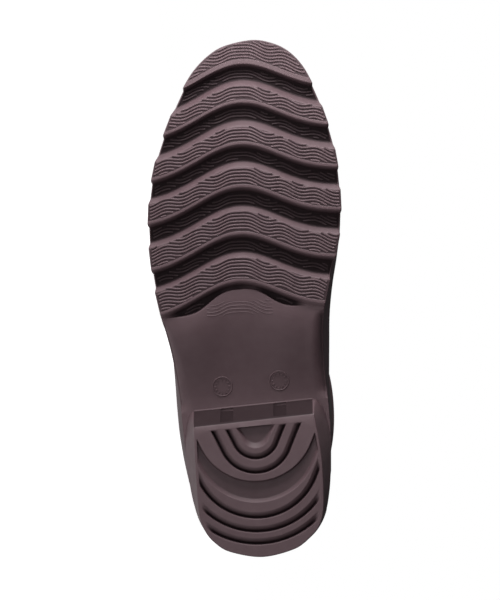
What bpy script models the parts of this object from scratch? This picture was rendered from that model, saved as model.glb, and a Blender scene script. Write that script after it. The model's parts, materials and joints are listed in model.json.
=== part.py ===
"""A right rain boot of moulded rubber, lying on its outer side.

The pieces are modelled standing, in a boot frame: X runs from the back of the heel to the toe, Y towards the
medial (inner) side of the foot and Z up from the tread. One empty then lays the finished boot on the floor.
"""

from collections import namedtuple

import bmesh
import bpy
import numpy as np
from mathutils import Matrix, Vector

MM = 0.001


def table(row_type, rows):
    """Name the columns of rows that are written in millimetres, and turn them into metres."""
    return [row_type(*(value * MM for value in row)) for row in rows]


# Driving sizes
HEEL_HEIGHT = 15.5 * MM
SEAT_HEIGHT = 24 * MM
SEAT_RISE_START = 156 * MM
SEAT_RISE_END = 60 * MM
FOREFOOT_HEIGHT = 10 * MM
LUG_DEPTH = 4 * MM
WAIST_STEP = 2 * MM
TOE_SPRING = 9 * MM
TOE_SPRING_START = 195 * MM
WALL = 2.4 * MM
INSOLE_THICKNESS = 3.5 * MM
INSOLE_CLEARANCE = 1.6 * MM
FIT_GAP = 0.3 * MM
UPPER_STEP = 0.9 * MM

# Plan outline of the sole: how far the edge lies to the lateral and to the medial side at each station
EdgeRow = namedtuple("EdgeRow", "x lateral medial")
SOLE_HEEL_APEX = (0, 1.5 * MM)
SOLE_TOE_APEX = (264.3 * MM, 8.2 * MM)
SOLE_EDGE = table(
    EdgeRow,
    (
        (3.5, 15.5, 18.5),
        (8, 22.9, 25.7),
        (14, 27.7, 31.3),
        (22, 31.3, 35.0),
        (34, 33.9, 37.4),
        (48, 35.4, 38.5),
        (62, 36.4, 38.9),
        (77, 37.3, 38.5),
        (92, 38.7, 37.5),
        (107, 40.7, 37.2),
        (122, 44.0, 38.2),
        (137, 47.0, 41.5),
        (152, 48.7, 45.9),
        (168, 49.4, 49.2),
        (184, 48.2, 49.7),
        (200, 45.2, 48.8),
        (215, 40.2, 46.1),
        (229, 34.3, 42.1),
        (240.5, 28.6, 37.8),
        (250, 22.3, 33.0),
        (257.5, 14.4, 26.4),
        (262, 5.8, 18.6),
    ),
)

# Forefoot tread: the crest line of the waves and the plan places of each groove on that line
WAVE_CREST_X = 232 * MM
WAVE_CREST_Y = 1 * MM
WAVE_CREST_LEAN = 0.05
WAVE_DROP_LATERAL = 18.6 * MM
WAVE_DROP_MEDIAL = 14.3 * MM
WAVE_REACH_LATERAL = 31 * MM
WAVE_REACH_MEDIAL = 27 * MM
LUG_REAR_DRAFT = 1.8 * MM
GrooveRow = namedtuple("GrooveRow", "rear_edge floor_end lug_front")
FOREFOOT_GROOVES = table(
    GrooveRow,
    (
        (252.0, 244.2, 240.9),
        (231.9, 223.5, 219.9),
        (210.5, 202.5, 199.3),
        (188.7, 180.0, 176.8),
        (164.8, 156.5, 153.6),
    ),
)
LAST_LUG_REAR = 140.9 * MM

# Waist: a domed front edge behind the last lug, a rounded side edge and the line where the heel breast starts
WAIST_FRONT_X = 126.2 * MM
WAIST_FRONT_SLANT = 0.049
WAIST_DOME = 11.1 * MM
WAIST_DOME_Y = -4.2 * MM
WAIST_DOME_REACH = 17.5 * MM
WAIST_GROOVE_LEAST = 0.8 * MM
WAIST_GROOVE_FADE = 2.4 * MM
WAIST_EDGE_PLAN = 4.5 * MM
WAIST_EDGE_RISE = 5 * MM
WAIST_EDGE_FADE = 0.15
BREAST_TOP_X = 77.5 * MM
BREAST_TOP_SLANT = 0.06

# Heel: the edge of the tread pad, its front lip and the arcs of its grooves, whose centres lie on one line
HEEL_PAD_APEX = (0.8 * MM, 1.5 * MM)
HEEL_PAD_EDGE = table(
    EdgeRow,
    (
        (4, 14.6, 17.6),
        (9, 22.3, 25.3),
        (15, 26.9, 30.9),
        (23, 29.5, 33.5),
        (36, 30.1, 34.1),
        (50, 30.3, 33.8),
        (64, 30.3, 32.2),
        (74, 30.3, 30.4),
    ),
)
HEEL_RIM = 1 * MM
LIP_REAR_X = 67.5 * MM
LIP_REAR_SLANT = 0.05
LIP_FRONT_X = 70.4 * MM
LIP_FRONT_SLANT = 0.067
HEEL_GROOVE_DEPTH = 2.2 * MM
HEEL_GROOVE_HALF_TOP = 0.9 * MM
HEEL_GROOVE_HALF_FLOOR = 0.5 * MM
HEEL_RECESS_DEPTH = 2 * MM
ARC_CENTRE_Y = 0.8 * MM
ArcRow = namedtuple("ArcRow", "centre radius turn")
INNER_TURN = np.radians(90)
OUTER_TURN = np.radians(66)
HALF_MOON_FLOOR = ArcRow(66 * MM, 7.2 * MM, INNER_TURN)
HALF_MOON_TOP = ArcRow(66 * MM, 9.8 * MM, INNER_TURN)
HALF_MOON_CHORD = 0.94
INNER_GROOVES = (ArcRow(65.7 * MM, 14.5 * MM, INNER_TURN), ArcRow(66.3 * MM, 22.4 * MM, INNER_TURN))
CORNER_RIB = ArcRow(70 * MM, 30.4 * MM, OUTER_TURN)
CRESCENT_INNER = ArcRow(70 * MM, 31.2 * MM, OUTER_TURN)
CRESCENT_OUTER = ArcRow(60.6 * MM, 29.5 * MM, OUTER_TURN)
BACK_RIB = ArcRow(60.6 * MM, 31.9 * MM, OUTER_TURN)
OUTER_GROOVES = (
    ArcRow(53.3 * MM, 32.2 * MM, OUTER_TURN),
    ArcRow(52.6 * MM, 38.5 * MM, OUTER_TURN),
    ArcRow(51.6 * MM, 43.7 * MM, OUTER_TURN),
)
BREAST_POCKET_Y = 13.6 * MM
BREAST_POCKET_WIDTH = 6.5 * MM
BREAST_POCKET_DEPTH = 1.4 * MM
BREAST_POCKET_SILL = 2.5 * MM

# Upper: level sections by height above the sole, with the length over which the front of each rounds off and
# the half widths that the shaft would have there
UpperRow = namedtuple("UpperRow", "height back front nose lateral medial")
UPPER_SECTIONS = table(
    UpperRow,
    (
        (0, 1.0, 263.2, 40, 42, 38),
        (7, 0.5, 263.2, 40, 42, 38),
        (15, 0.4, 261.4, 44, 42, 38),
        (22, 0.6, 257, 54, 42, 38),
        (29, 1.0, 249, 70, 42, 38),
        (36, 1.7, 236, 90, 42, 38),
        (43, 2.8, 219.5, 102, 42, 38),
        (52, 4.6, 199, 108, 42, 38),
        (64, 7.2, 177, 106, 41.8, 37.6),
        (78, 9.7, 157, 96, 41.4, 37.2),
        (94, 11.2, 141, 80, 41, 37),
        (112, 11.4, 131.5, 68, 41, 37),
        (134, 9.8, 127, 62, 42, 37.4),
        (165, 6.6, 126, 60, 43.6, 38.6),
        (200, 3.4, 127, 62, 45.6, 39.8),
        (234, 1.0, 128.5, 64, 47, 40.6),
    ),
)
SHAFT_BLEND_START = 18 * MM
SHAFT_BLEND_END = 108 * MM
LEVEL_HEIGHT = 75 * MM
LEVEL_BASE = 14 * MM
SHAFT_ROUNDNESS = 2.15
MEDIAL_SWELL = 4.2 * MM
MEDIAL_SWELL_X = 112 * MM
MEDIAL_SWELL_REACH = 36 * MM
LATERAL_SWELL = 4.2 * MM
LATERAL_SWELL_X = 68 * MM
LATERAL_SWELL_REACH = 40 * MM
SWELL_HEIGHT = 16 * MM
TOE_CAP_LOW = 16 * MM
TOE_CAP_HIGH = 44 * MM
TOE_CAP_X = 150 * MM
UPRIGHT_STRIP = 4 * MM
COLLAR_BAND_START = 225 * MM
COLLAR_BAND_PROUD = 1 * MM

# How finely the faceted solids are cut
SPLINE_STEPS = 12
ARC_STEPS = 40
HALVINGS = 40
CARRY_ROUNDS = 8
END_ROWS = 2
SHARP_ANGLE = np.radians(32)
FURTHEST_ASIDE = 80 * MM
LEAST_WIDTH = 0.01 * MM
SEAT_STATIONS = np.array((22, 42, 58, 67)) * MM
WAIST_SHARES = np.array((0, 12, 24, 40, 56, 72, 88, 100)) / 100
INSOLE_STATIONS = np.array((26, 45, 62, 78, 90, 102, 114, 126, 142, 165, 188, 205, 220, 234)) * MM
SOLE_COLUMNS = np.array((0, 3, 8, 15, 22, 29, 36, 43, 50, 57, 64, 71, 78, 85, 92, 97, 100)) / 100
HEEL_COLUMNS = np.array((0, 2, 9, 18, 27, 36, 45, 50, 55, 64, 73, 82, 91, 98, 100)) / 100
INSOLE_COLUMNS = np.array((0, 14, 38, 62, 86, 100)) / 100
UPPER_HEIGHTS = np.array(
    (0, 4, 9, 15, 21, 27, 33, 39, 46, 54, 63, 73, 84, 96, 110, 126, 145, 166, 190, 212, 224, 226, 232.5, 234)
) * MM
UPPER_POINTS = 48

# Stuff of each piece: colour and roughness, and the density that finds the point where the boot balances
Stuff = namedtuple("Stuff", "colour roughness density")
STUFF = {
    "upper": Stuff((0.047, 0.028, 0.031), 0.5, 1120),
    "outsole": Stuff((0.060, 0.036, 0.039), 0.6, 1150),
    "heel": Stuff((0.056, 0.034, 0.037), 0.6, 1150),
    "insole": Stuff((0.140, 0.100, 0.095), 0.9, 250),
}


def smooth(value):
    """Ease from 0 to 1."""
    value = np.clip(value, 0, 1)
    return value * value * (3 - 2 * value)


def spline(points, closed=False):
    """Catmull-Rom curve through the points, wrapped round or mirrored past its two ends."""
    points = np.asarray(points, float)
    before_first = points[-2] if closed else 2 * points[0] - points[1]
    after_last = points[1] if closed else 2 * points[-1] - points[-2]
    padded = np.vstack((before_first, points, after_last))
    shares = np.linspace(0, 1, SPLINE_STEPS, endpoint=False)[:, None]
    spans = []
    for before, start, end, after in zip(padded, padded[1:], padded[2:], padded[3:]):
        straight = 2 * start + (end - before) * shares
        square = (2 * before - 5 * start + 4 * end - after) * shares**2
        cube = (3 * start - before - 3 * end + after) * shares**3
        spans.append((straight + square + cube) / 2)
    return np.vstack(spans + [points[-1:]])


def spaced_points(path, shares):
    """Points at the given shares of the length of a path."""
    run = np.concatenate(([0], np.cumsum(np.linalg.norm(np.diff(path, axis=0), axis=1))))
    return np.stack([np.interp(np.asarray(shares) * run[-1], run, axis) for axis in path.T], axis=1)


class Outline:
    """A plan outline: points from the lateral front round the back of the heel to the medial front."""

    def __init__(self, points):
        self.points = points
        back = points[:, 0].argmin()
        self.lateral_side = points[back::-1]
        self.medial_side = points[back:]
        self.back = points[back, 0]

    def lateral(self, x):
        return np.interp(x, self.lateral_side[:, 0], -self.lateral_side[:, 1])

    def medial(self, x):
        return np.interp(x, self.medial_side[:, 0], self.medial_side[:, 1])

    def inset(self, distance):
        """The outline moved inwards by a distance."""
        along = np.gradient(self.points, axis=0)
        along /= np.linalg.norm(along, axis=1)[:, None]
        return Outline(self.points + distance * np.stack((along[:, 1], -along[:, 0]), axis=1))

    def stretch(self, start, end, shares, past_toe):
        """Points from start, on the lateral side, to end, on the medial side, by way of toe or heel."""
        facing = 1 if past_toe else -1
        lateral = self.lateral_side[facing * self.lateral_side[:, 0] > facing * start[0]]
        medial = self.medial_side[facing * self.medial_side[:, 0] > facing * end[0]]
        return spaced_points(np.vstack((start, lateral[::facing], medial[::-facing], end)), shares)


def edge_outline(rows, back_apex, front_apex=None):
    """A smooth outline through a table of edges; with a front apex it closes there."""
    lateral = [(row.x, -row.lateral) for row in reversed(rows)]
    medial = [(row.x, row.medial) for row in rows]
    ends = [front_apex] if front_apex else []
    return Outline(spline(ends + lateral + [back_apex] + medial + ends, closed=bool(front_apex)))


SOLE = edge_outline(SOLE_EDGE, SOLE_HEEL_APEX, SOLE_TOE_APEX)
HEEL_PAD = edge_outline(HEEL_PAD_EDGE, HEEL_PAD_APEX)
FEATHER = SOLE.inset(UPPER_STEP)


def wave_line(crest):
    """A line across the sole that falls back from its crest; the crests lean to the lateral side."""
    crest_y = WAVE_CREST_Y + WAVE_CREST_LEAN * (crest - WAVE_CREST_X)

    def line(y):
        """Place of the line at a distance to either side."""
        aside = y - crest_y
        lateral = WAVE_DROP_LATERAL * (1 - np.exp(-((aside / WAVE_REACH_LATERAL) ** 2)))
        medial = WAVE_DROP_MEDIAL * (1 - np.exp(-((aside / WAVE_REACH_MEDIAL) ** 2)))
        return crest - np.where(aside < 0, lateral, medial)

    return line


def last_floor_line(y):
    """Foot of the rear wall of the last lug."""
    return wave_line(LAST_LUG_REAR - LUG_REAR_DRAFT)(y)


def waist_dome_line(y):
    """The domed front edge of the waist, before the last lug cuts it short."""
    dome = WAIST_DOME * np.exp(-(np.abs((y - WAIST_DOME_Y) / WAIST_DOME_REACH) ** 3))
    return WAIST_FRONT_X + WAIST_FRONT_SLANT * y + dome


def waist_line(y):
    """Front edge of the waist."""
    return np.minimum(waist_dome_line(y), last_floor_line(y) - WAIST_GROOVE_LEAST)


def breast_line(y):
    """The line across the sole where the heel breast meets the waist."""
    return BREAST_TOP_X + BREAST_TOP_SLANT * y


def toe_spring(x):
    """Rise of the tread towards the toe."""
    past = np.clip(x - TOE_SPRING_START, 0, None)
    return TOE_SPRING * (past / (SOLE_TOE_APEX[0] - TOE_SPRING_START)) ** 2


def sole_top(x):
    """Height of the upper face of the outsole."""
    rise = smooth((SEAT_RISE_START - x) / (SEAT_RISE_START - SEAT_RISE_END))
    return FOREFOOT_HEIGHT + toe_spring(x) + (SEAT_HEIGHT - FOREFOOT_HEIGHT) * rise


def waist_share(x, y):
    """0 at the heel breast and behind it, 1 at the front edge of the waist and ahead of it."""
    return np.clip((x - breast_line(y)) / (waist_line(y) - breast_line(y)), 0, 1)


def row_across(outline, line, shares):
    """Points of the line x(y) from the lateral edge of the outline to its medial edge."""
    ends = []
    for edge, outside in ((outline.lateral, -1), (outline.medial, 1)):
        inner, outer = 0.0, outside * FURTHEST_ASIDE
        for _ in range(HALVINGS):
            middle = (inner + outer) / 2
            if outside * middle < edge(line(middle)):
                inner = middle
            else:
                outer = middle
        ends.append(inner)
    y = ends[0] + (ends[1] - ends[0]) * shares
    return np.stack((line(y), y), axis=1)


def plan_rows(outline, lines, shares):
    """Rows of plan points from the back of the outline to its toe, along the given lines x(y)."""
    rows = [row_across(outline, line, shares) for line in lines]
    heel = outline.stretch(rows[0][0], rows[0][-1], shares, past_toe=False)
    toe = outline.stretch(rows[-1][0], rows[-1][-1], shares, past_toe=True)
    steps = np.arange(END_ROWS) / END_ROWS
    back = [heel + (rows[0] - heel) * step for step in steps]
    front = [rows[-1] + (toe - rows[-1]) * (1 - step) for step in steps[::-1]]
    return np.array(back + rows + front), len(back)


def with_height(plan, height):
    """Add heights to a grid of plan points."""
    return np.concatenate((plan, np.broadcast_to(height, plan.shape[:2])[..., None]), axis=2)


def slab(layers):
    """A closed mesh from a bottom grid of points, raised through further grids of the same kind."""
    count_rows, count_columns = layers[0].shape[:2]
    mesh = bmesh.new()
    bmesh.ops.create_grid(mesh, x_segments=count_columns - 1, y_segments=count_rows - 1, size=1)
    place = mesh.verts.layers.int.new("place")
    for index, vert in enumerate(mesh.verts):
        vert[place] = index
        vert.co = layers[0].reshape(-1, 3)[index]
    faces = list(mesh.faces)
    for number, layer in enumerate(layers[1:]):
        edges = list({edge for face in faces for edge in face.edges})
        made = bmesh.ops.extrude_face_region(mesh, geom=faces + edges, use_keep_orig=number == 0)["geom"]
        faces = [item for item in made if isinstance(item, bmesh.types.BMFace)]
        for vert in (item for item in made if isinstance(item, bmesh.types.BMVert)):
            vert.co = layer.reshape(-1, 3)[vert[place]]
    mesh.verts.layers.int.remove(place)
    bmesh.ops.recalc_face_normals(mesh, faces=mesh.faces)
    return mesh


def tube(rings):
    """An open mesh through closed rings of points."""
    mesh = bmesh.new()
    bmesh.ops.create_circle(mesh, segments=rings.shape[1], radius=1)
    place = mesh.verts.layers.int.new("place")
    for index, vert in enumerate(mesh.verts):
        vert[place] = index
        vert.co = rings[0, index]
    edges = list(mesh.edges)
    for ring in rings[1:]:
        made = bmesh.ops.extrude_edge_only(mesh, edges=edges)["geom"]
        verts = {item for item in made if isinstance(item, bmesh.types.BMVert)}
        edges = [
            item for item in made if isinstance(item, bmesh.types.BMEdge) and set(item.verts) <= verts
        ]
        for vert in verts:
            vert.co = ring[vert[place]]
    mesh.verts.layers.int.remove(place)
    bmesh.ops.recalc_face_normals(mesh, faces=mesh.faces)
    return mesh


def new_material(name):
    """A plain Principled material for one piece."""
    material = bpy.data.materials.new(name + "_stuff")
    material.use_nodes = True
    shader = material.node_tree.nodes["Principled BSDF"]
    shader.inputs["Base Color"].default_value = (*STUFF[name].colour, 1)
    shader.inputs["Roughness"].default_value = STUFF[name].roughness
    shader.inputs["Metallic"].default_value = 0
    return material


def add_piece(name, mesh, collection):
    """Put a finished bmesh in the scene as a piece with its material."""
    data = bpy.data.meshes.new(name)
    mesh.to_mesh(data)
    mesh.free()
    data.materials.append(new_material(name))
    data.shade_smooth()
    data.set_sharp_from_angle(angle=SHARP_ANGLE)
    piece = bpy.data.objects.new(name, data)
    collection.objects.link(piece)
    return piece


def outsole_lines():
    """The lines across the outsole from heel to toe, each with its depth below the tread plane."""
    lines = [(lambda y, x=x: x + 0 * y, 0) for x in SEAT_STATIONS]
    for share in WAIST_SHARES:
        lines.append((lambda y, share=share: breast_line(y) * (1 - share) + waist_line(y) * share, 0))
    lines.append((lambda y: waist_line(y) + FIT_GAP, LUG_DEPTH))
    lines.append((last_floor_line, LUG_DEPTH))
    lines.append((wave_line(LAST_LUG_REAR), 0))
    for groove in reversed(FOREFOOT_GROOVES):
        floor_start = groove.rear_edge - LUG_REAR_DRAFT
        places = ((groove.lug_front, 0), (groove.floor_end, LUG_DEPTH), (floor_start, LUG_DEPTH))
        for crest, depth in places + ((groove.rear_edge, 0),):
            lines.append((wave_line(crest), depth))
    return lines


def outsole_bottom(plan, depth):
    """Heights of the underside: tread waves, arched waist with rounded sides, and the flat heel seat."""
    x, y = plan[..., 0], plan[..., 1]
    share = waist_share(x, y)
    arch = WAIST_STEP + (HEEL_HEIGHT - WAIST_STEP) * smooth(1 - share)
    open_groove = smooth((last_floor_line(y) - waist_dome_line(y)) / WAIST_GROOVE_FADE)
    behind_last_lug = (x < last_floor_line(y) + FIT_GAP) & (depth > 0)
    depth = np.where(behind_last_lug, WAIST_STEP + (depth - WAIST_STEP) * open_groove, depth)
    height = np.where(share < 1, arch, depth)
    height = np.where((share == 1) & (x < waist_line(y) + FIT_GAP / 2), WAIST_STEP, height)
    to_edge = np.minimum(y + SOLE.lateral(x), SOLE.medial(x) - y)
    rounding = 1 - np.sqrt(1 - np.clip(1 - to_edge / WAIST_EDGE_PLAN, 0, 1) ** 2)
    in_waist = smooth(share / WAIST_EDGE_FADE) * smooth((1 - share) / WAIST_EDGE_FADE)
    return height + toe_spring(x) + WAIST_EDGE_RISE * rounding * in_waist


def make_outsole(collection):
    """Outsole with tread waves, arched waist and heel seat."""
    lines = outsole_lines()
    plan, start = plan_rows(SOLE, [line for line, _ in lines], SOLE_COLUMNS)
    depth = np.zeros(plan.shape[:2])
    for number, (_, groove_depth) in enumerate(lines):
        depth[start + number] = groove_depth
    bottom = with_height(plan, outsole_bottom(plan, depth))
    top = with_height(plan, sole_top(plan[..., 0]))
    return add_piece("outsole", slab([bottom, top]), collection)


def heel_arcs():
    """Arcs of the heel tread from its middle outwards, each with its depth."""

    def cut(groove):
        for offset, depth in (
            (-HEEL_GROOVE_HALF_TOP, 0),
            (-HEEL_GROOVE_HALF_FLOOR, HEEL_GROOVE_DEPTH),
            (HEEL_GROOVE_HALF_FLOOR, HEEL_GROOVE_DEPTH),
            (HEEL_GROOVE_HALF_TOP, 0),
        ):
            yield groove._replace(radius=groove.radius + offset), depth

    arcs = [(HALF_MOON_FLOOR, HEEL_RECESS_DEPTH), (HALF_MOON_TOP, 0)]
    for groove in INNER_GROOVES:
        arcs += cut(groove)
    arcs += [(CORNER_RIB, 0), (CRESCENT_INNER, HEEL_RECESS_DEPTH)]
    arcs += [(CRESCENT_OUTER, HEEL_RECESS_DEPTH), (BACK_RIB, 0)]
    for groove in OUTER_GROOVES:
        arcs += cut(groove)
    return arcs


def arc_side(arc, side, inside):
    """One half of a heel arc: round as far as its turn, then straight on until it leaves the pad."""
    angle = np.linspace(0, arc.turn, ARC_STEPS)
    bend = np.stack((arc.centre - arc.radius * np.cos(angle), side * arc.radius * np.sin(angle)), axis=1)
    ahead = np.array((np.sin(arc.turn), side * np.cos(arc.turn)))
    straight = bend[-1] + np.linspace(0, arc.radius, ARC_STEPS)[1:, None] * ahead
    path = np.vstack((bend, straight)) + (0, ARC_CENTRE_Y)
    last = next(number for number, point in enumerate(path) if not inside(*point)) - 1
    within, beyond = 0.0, 1.0
    step = path[last + 1] - path[last]
    for _ in range(HALVINGS):
        middle = (within + beyond) / 2
        if inside(*(path[last] + middle * step)):
            within = middle
        else:
            beyond = middle
    return np.vstack((path[: last + 1], path[last] + within * step))


def arc_row(arc, inside, shares):
    """Points of an arc, between the places where it leaves the pad on its lateral and medial sides."""
    return spaced_points(np.vstack((arc_side(arc, -1, inside)[:0:-1], arc_side(arc, 1, inside))), shares)


def move_outline(plan, source, source_front, target, target_front):
    """Carry plan points from one heel outline to the same places of another."""
    x, y = plan[..., 0], plan[..., 1]
    edge = np.where(y < 0, source.lateral(x), source.medial(x))
    aside = np.clip(y / np.maximum(edge, LEAST_WIDTH), -1, 1)
    along = (x - source.back) / (source_front(y) - source.back)
    moved_y = y
    for _ in range(CARRY_ROUNDS):
        moved_x = target.back + along * (target_front(moved_y) - target.back)
        moved_y = aside * np.where(aside < 0, target.lateral(moved_x), target.medial(moved_x))
    return np.stack((moved_x, moved_y), axis=2)


def cut_breast_pockets(heel, collection):
    """Two shallow pockets in the face of the heel breast."""
    run = BREAST_TOP_X - LIP_FRONT_X
    slope = np.arctan2(run, HEEL_HEIGHT)
    height = np.hypot(run, HEEL_HEIGHT)
    for name, side in (("lateral", -1), ("medial", 1)):
        y = side * BREAST_POCKET_Y
        front = LIP_FRONT_X + LIP_FRONT_SLANT * y
        mesh = bmesh.new()
        bmesh.ops.create_cube(mesh, size=1)
        size = Matrix.Diagonal((2 * BREAST_POCKET_DEPTH, BREAST_POCKET_WIDTH, height, 1))
        turn = Matrix.Rotation(slope, 4, "Y")
        lift = Matrix.Translation((0, 0, BREAST_POCKET_SILL + height / 2))
        place = Matrix.Translation((front, y, 0)) @ turn @ lift @ size
        bmesh.ops.transform(mesh, matrix=place, verts=mesh.verts)
        data = bpy.data.meshes.new("breast_pocket_" + name)
        mesh.to_mesh(data)
        mesh.free()
        cutter = bpy.data.objects.new("breast_pocket_" + name, data)
        cutter.hide_render = True
        cutter.display_type = "WIRE"
        cutter.parent = heel.parent
        collection.objects.link(cutter)
        cut = heel.modifiers.new("pocket_" + name, "BOOLEAN")
        cut.operation = "DIFFERENCE"
        cut.object = cutter


def make_heel(collection):
    """Heel block with its tread pad of arcs, front lip and tapered sides."""
    inner = HEEL_PAD.inset(HEEL_RIM)

    def lip_rear(y):
        return LIP_REAR_X + LIP_REAR_SLANT * y

    def lip_front(y):
        return LIP_FRONT_X + LIP_FRONT_SLANT * y

    def inside(x, y):
        return inner.back < x < lip_rear(y) and -inner.lateral(x) < y < inner.medial(x)

    arcs = heel_arcs()
    rows = [arc_row(arc, inside, HEEL_COLUMNS) for arc, _ in arcs]
    depths = [depth for _, depth in arcs]
    # The innermost row runs straight along the lip, and the corner rib ends in the corners of the pad.
    chord = rows[0][0, 1] + (rows[0][-1, 1] - rows[0][0, 1]) * HEEL_COLUMNS
    rows.insert(0, np.stack((lip_rear(chord), chord * HALF_MOON_CHORD), axis=1))
    depths.insert(0, HEEL_RECESS_DEPTH)
    corner = [arc for arc, _ in arcs].index(CORNER_RIB) + 1
    for end, side in ((0, -inner.lateral(LIP_REAR_X)), (-1, inner.medial(LIP_REAR_X))):
        rows[corner][end] = lip_rear(side), side
    rows.append(inner.stretch(rows[-1][0], rows[-1][-1], HEEL_COLUMNS, past_toe=False))
    depths.append(0)
    plan = np.array(rows)
    depth = np.repeat(np.array(depths)[:, None], len(HEEL_COLUMNS), axis=1)
    depth[:, [0, -1]] = 0
    depth[0] = 0
    pad = with_height(plan, depth)
    rim = with_height(move_outline(plan, inner, lip_rear, HEEL_PAD, lip_front), 0)
    seat = with_height(move_outline(plan, inner, lip_rear, SOLE, breast_line), HEEL_HEIGHT - FIT_GAP)
    return add_piece("heel", slab([pad, rim, seat]), collection)


def make_insole(collection):
    """Loose insole that lies on the outsole inside the wall of the upper."""
    outline = FEATHER.inset(WALL + INSOLE_CLEARANCE)
    lines = [lambda y, x=x: x + 0 * y for x in INSOLE_STATIONS]
    plan, _ = plan_rows(outline, lines, INSOLE_COLUMNS)
    bottom = sole_top(plan[..., 0]) + FIT_GAP
    layers = [with_height(plan, bottom), with_height(plan, bottom + INSOLE_THICKNESS)]
    return add_piece("insole", slab(layers), collection)


def section_value(height, column):
    """A column of the table of upper sections, read at a height along a smooth curve."""
    heights = [row.height for row in UPPER_SECTIONS]
    values = [getattr(row, column) for row in UPPER_SECTIONS]
    curve = spline(np.stack((heights, values), axis=1))
    return np.interp(height, curve[:, 0], curve[:, 1])


def upper_ring(height):
    """Points round the outside of the upper at a height above the sole."""
    level = max(height, UPRIGHT_STRIP)
    back, front, nose, lateral, medial = (
        section_value(level, name) for name in ("back", "front", "nose", "lateral", "medial")
    )
    proud = COLLAR_BAND_PROUD * (COLLAR_BAND_START < height < UPPER_SECTIONS[-1].height - FIT_GAP)
    half = (front - back) / 2
    turn = np.linspace(0, 2 * np.pi, UPPER_POINTS, endpoint=False)
    along = np.cos(turn)
    x = (back + front) / 2 + half * along
    low = 1 - smooth((level - TOE_CAP_LOW) / (TOE_CAP_HIGH - TOE_CAP_LOW))
    rounding = np.sqrt(1 - (1 - np.clip((front - x) / nose, 0, 1)) ** 2) ** (1 - low)
    shaft = (1 - np.abs(along) ** SHAFT_ROUNDNESS) ** (1 / SHAFT_ROUNDNESS)
    swell = smooth(level / SWELL_HEIGHT)
    blend = smooth((height - SHAFT_BLEND_START) / (SHAFT_BLEND_END - SHAFT_BLEND_START))
    toe = FEATHER.points[0, 0]
    slid = (toe - front) * low * smooth((x - TOE_CAP_X) / (toe - TOE_CAP_X))
    on_foot = FEATHER.back + np.clip(x - back, 0, None) + slid
    medial_swell = MEDIAL_SWELL * swell * np.exp(-(((x - MEDIAL_SWELL_X) / MEDIAL_SWELL_REACH) ** 2))
    lateral_swell = LATERAL_SWELL * swell * np.exp(-(((x - LATERAL_SWELL_X) / LATERAL_SWELL_REACH) ** 2))
    foot_medial = FEATHER.medial(on_foot) + medial_swell
    foot_lateral = FEATHER.lateral(on_foot) + lateral_swell
    middle = (1 - blend) * (foot_medial - foot_lateral) / 2 + blend * (medial - lateral) / 2
    foot_half = (foot_medial + foot_lateral) / 2 * rounding
    half_width = (1 - blend) * foot_half + blend * (medial + lateral) / 2 * shaft
    y = middle + np.where(turn < np.pi, half_width, -half_width)
    settle = 1 - smooth(height / LEVEL_HEIGHT)
    z = height + LEVEL_BASE + (sole_top(x) + FIT_GAP - LEVEL_BASE) * settle
    ring = np.stack((x, y, z), axis=1)
    outward = np.stack((half * along, (lateral + medial) / 2 * np.sin(turn), 0 * turn), axis=1)
    return ring + proud * outward / np.linalg.norm(outward, axis=1)[:, None]


def make_upper(collection):
    """Foot and shaft in one moulded wall, open at the collar and underneath."""
    rings = np.array([upper_ring(height) for height in UPPER_HEIGHTS])
    upper = add_piece("upper", tube(rings), collection)
    wall = upper.modifiers.new("wall", "SOLIDIFY")
    wall.thickness = WALL
    wall.offset = -1
    wall.use_even_offset = True
    return upper


def solid_points(thing):
    """Corners of the triangles of an object as it is evaluated."""
    evaluated = thing.evaluated_get(bpy.context.evaluated_depsgraph_get())
    data = evaluated.to_mesh()
    data.calc_loop_triangles()
    points = np.array([vert.co for vert in data.vertices])
    corners = np.array([face.vertices for face in data.loop_triangles])
    evaluated.to_mesh_clear()
    return points[corners]


def balance_point(things):
    """Centre of mass of the pieces together."""
    mass, moment = 0.0, np.zeros(3)
    for thing in things:
        triangles = solid_points(thing)
        volumes = np.linalg.det(triangles) / 6 * STUFF[thing.name].density
        mass += volumes.sum()
        moment += (triangles.sum(axis=1) / 4 * volumes[:, None]).sum(axis=0)
    return moment / mass


def resting_normal(things):
    """Outward normal of the lateral plane that the boot comes to rest on, in the boot frame."""
    hull = bmesh.new()
    for thing in things:
        for point in np.unique(solid_points(thing).reshape(-1, 3), axis=0):
            hull.verts.new(point)
    bmesh.ops.convex_hull(hull, input=hull.verts)
    bmesh.ops.recalc_face_normals(hull, faces=hull.faces)
    balance = Vector(balance_point(things))
    for face in hull.faces:
        corners = [vert.co for vert in face.verts]
        sides = [
            (end - start).cross(balance - start).dot(face.normal)
            for start, end in zip(corners, corners[1:] + corners[:1])
        ]
        if face.normal.y < 0 and min(sides) >= 0:
            normal = face.normal.copy()
            hull.free()
            return normal
    raise ValueError("no lateral face of the hull lies under the point of balance")


def lay_down(parent, things):
    """Turn the standing boot onto its lateral side, sole towards -Y, and centre it on the floor."""
    up = -resting_normal(things)
    shaft = (Vector((0, 0, 1)) - up.z * up).normalized()
    turn = Matrix((shaft.cross(up), shaft, up)).to_4x4()
    points = np.vstack([solid_points(thing).reshape(-1, 3) for thing in things])
    turned = points @ np.array(turn.to_3x3()).T
    low, high = turned.min(axis=0), turned.max(axis=0)
    middle = Vector(((low[0] + high[0]) / 2, (low[1] + high[1]) / 2, low[2]))
    parent.matrix_world = Matrix.Translation(-middle) @ turn


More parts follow.
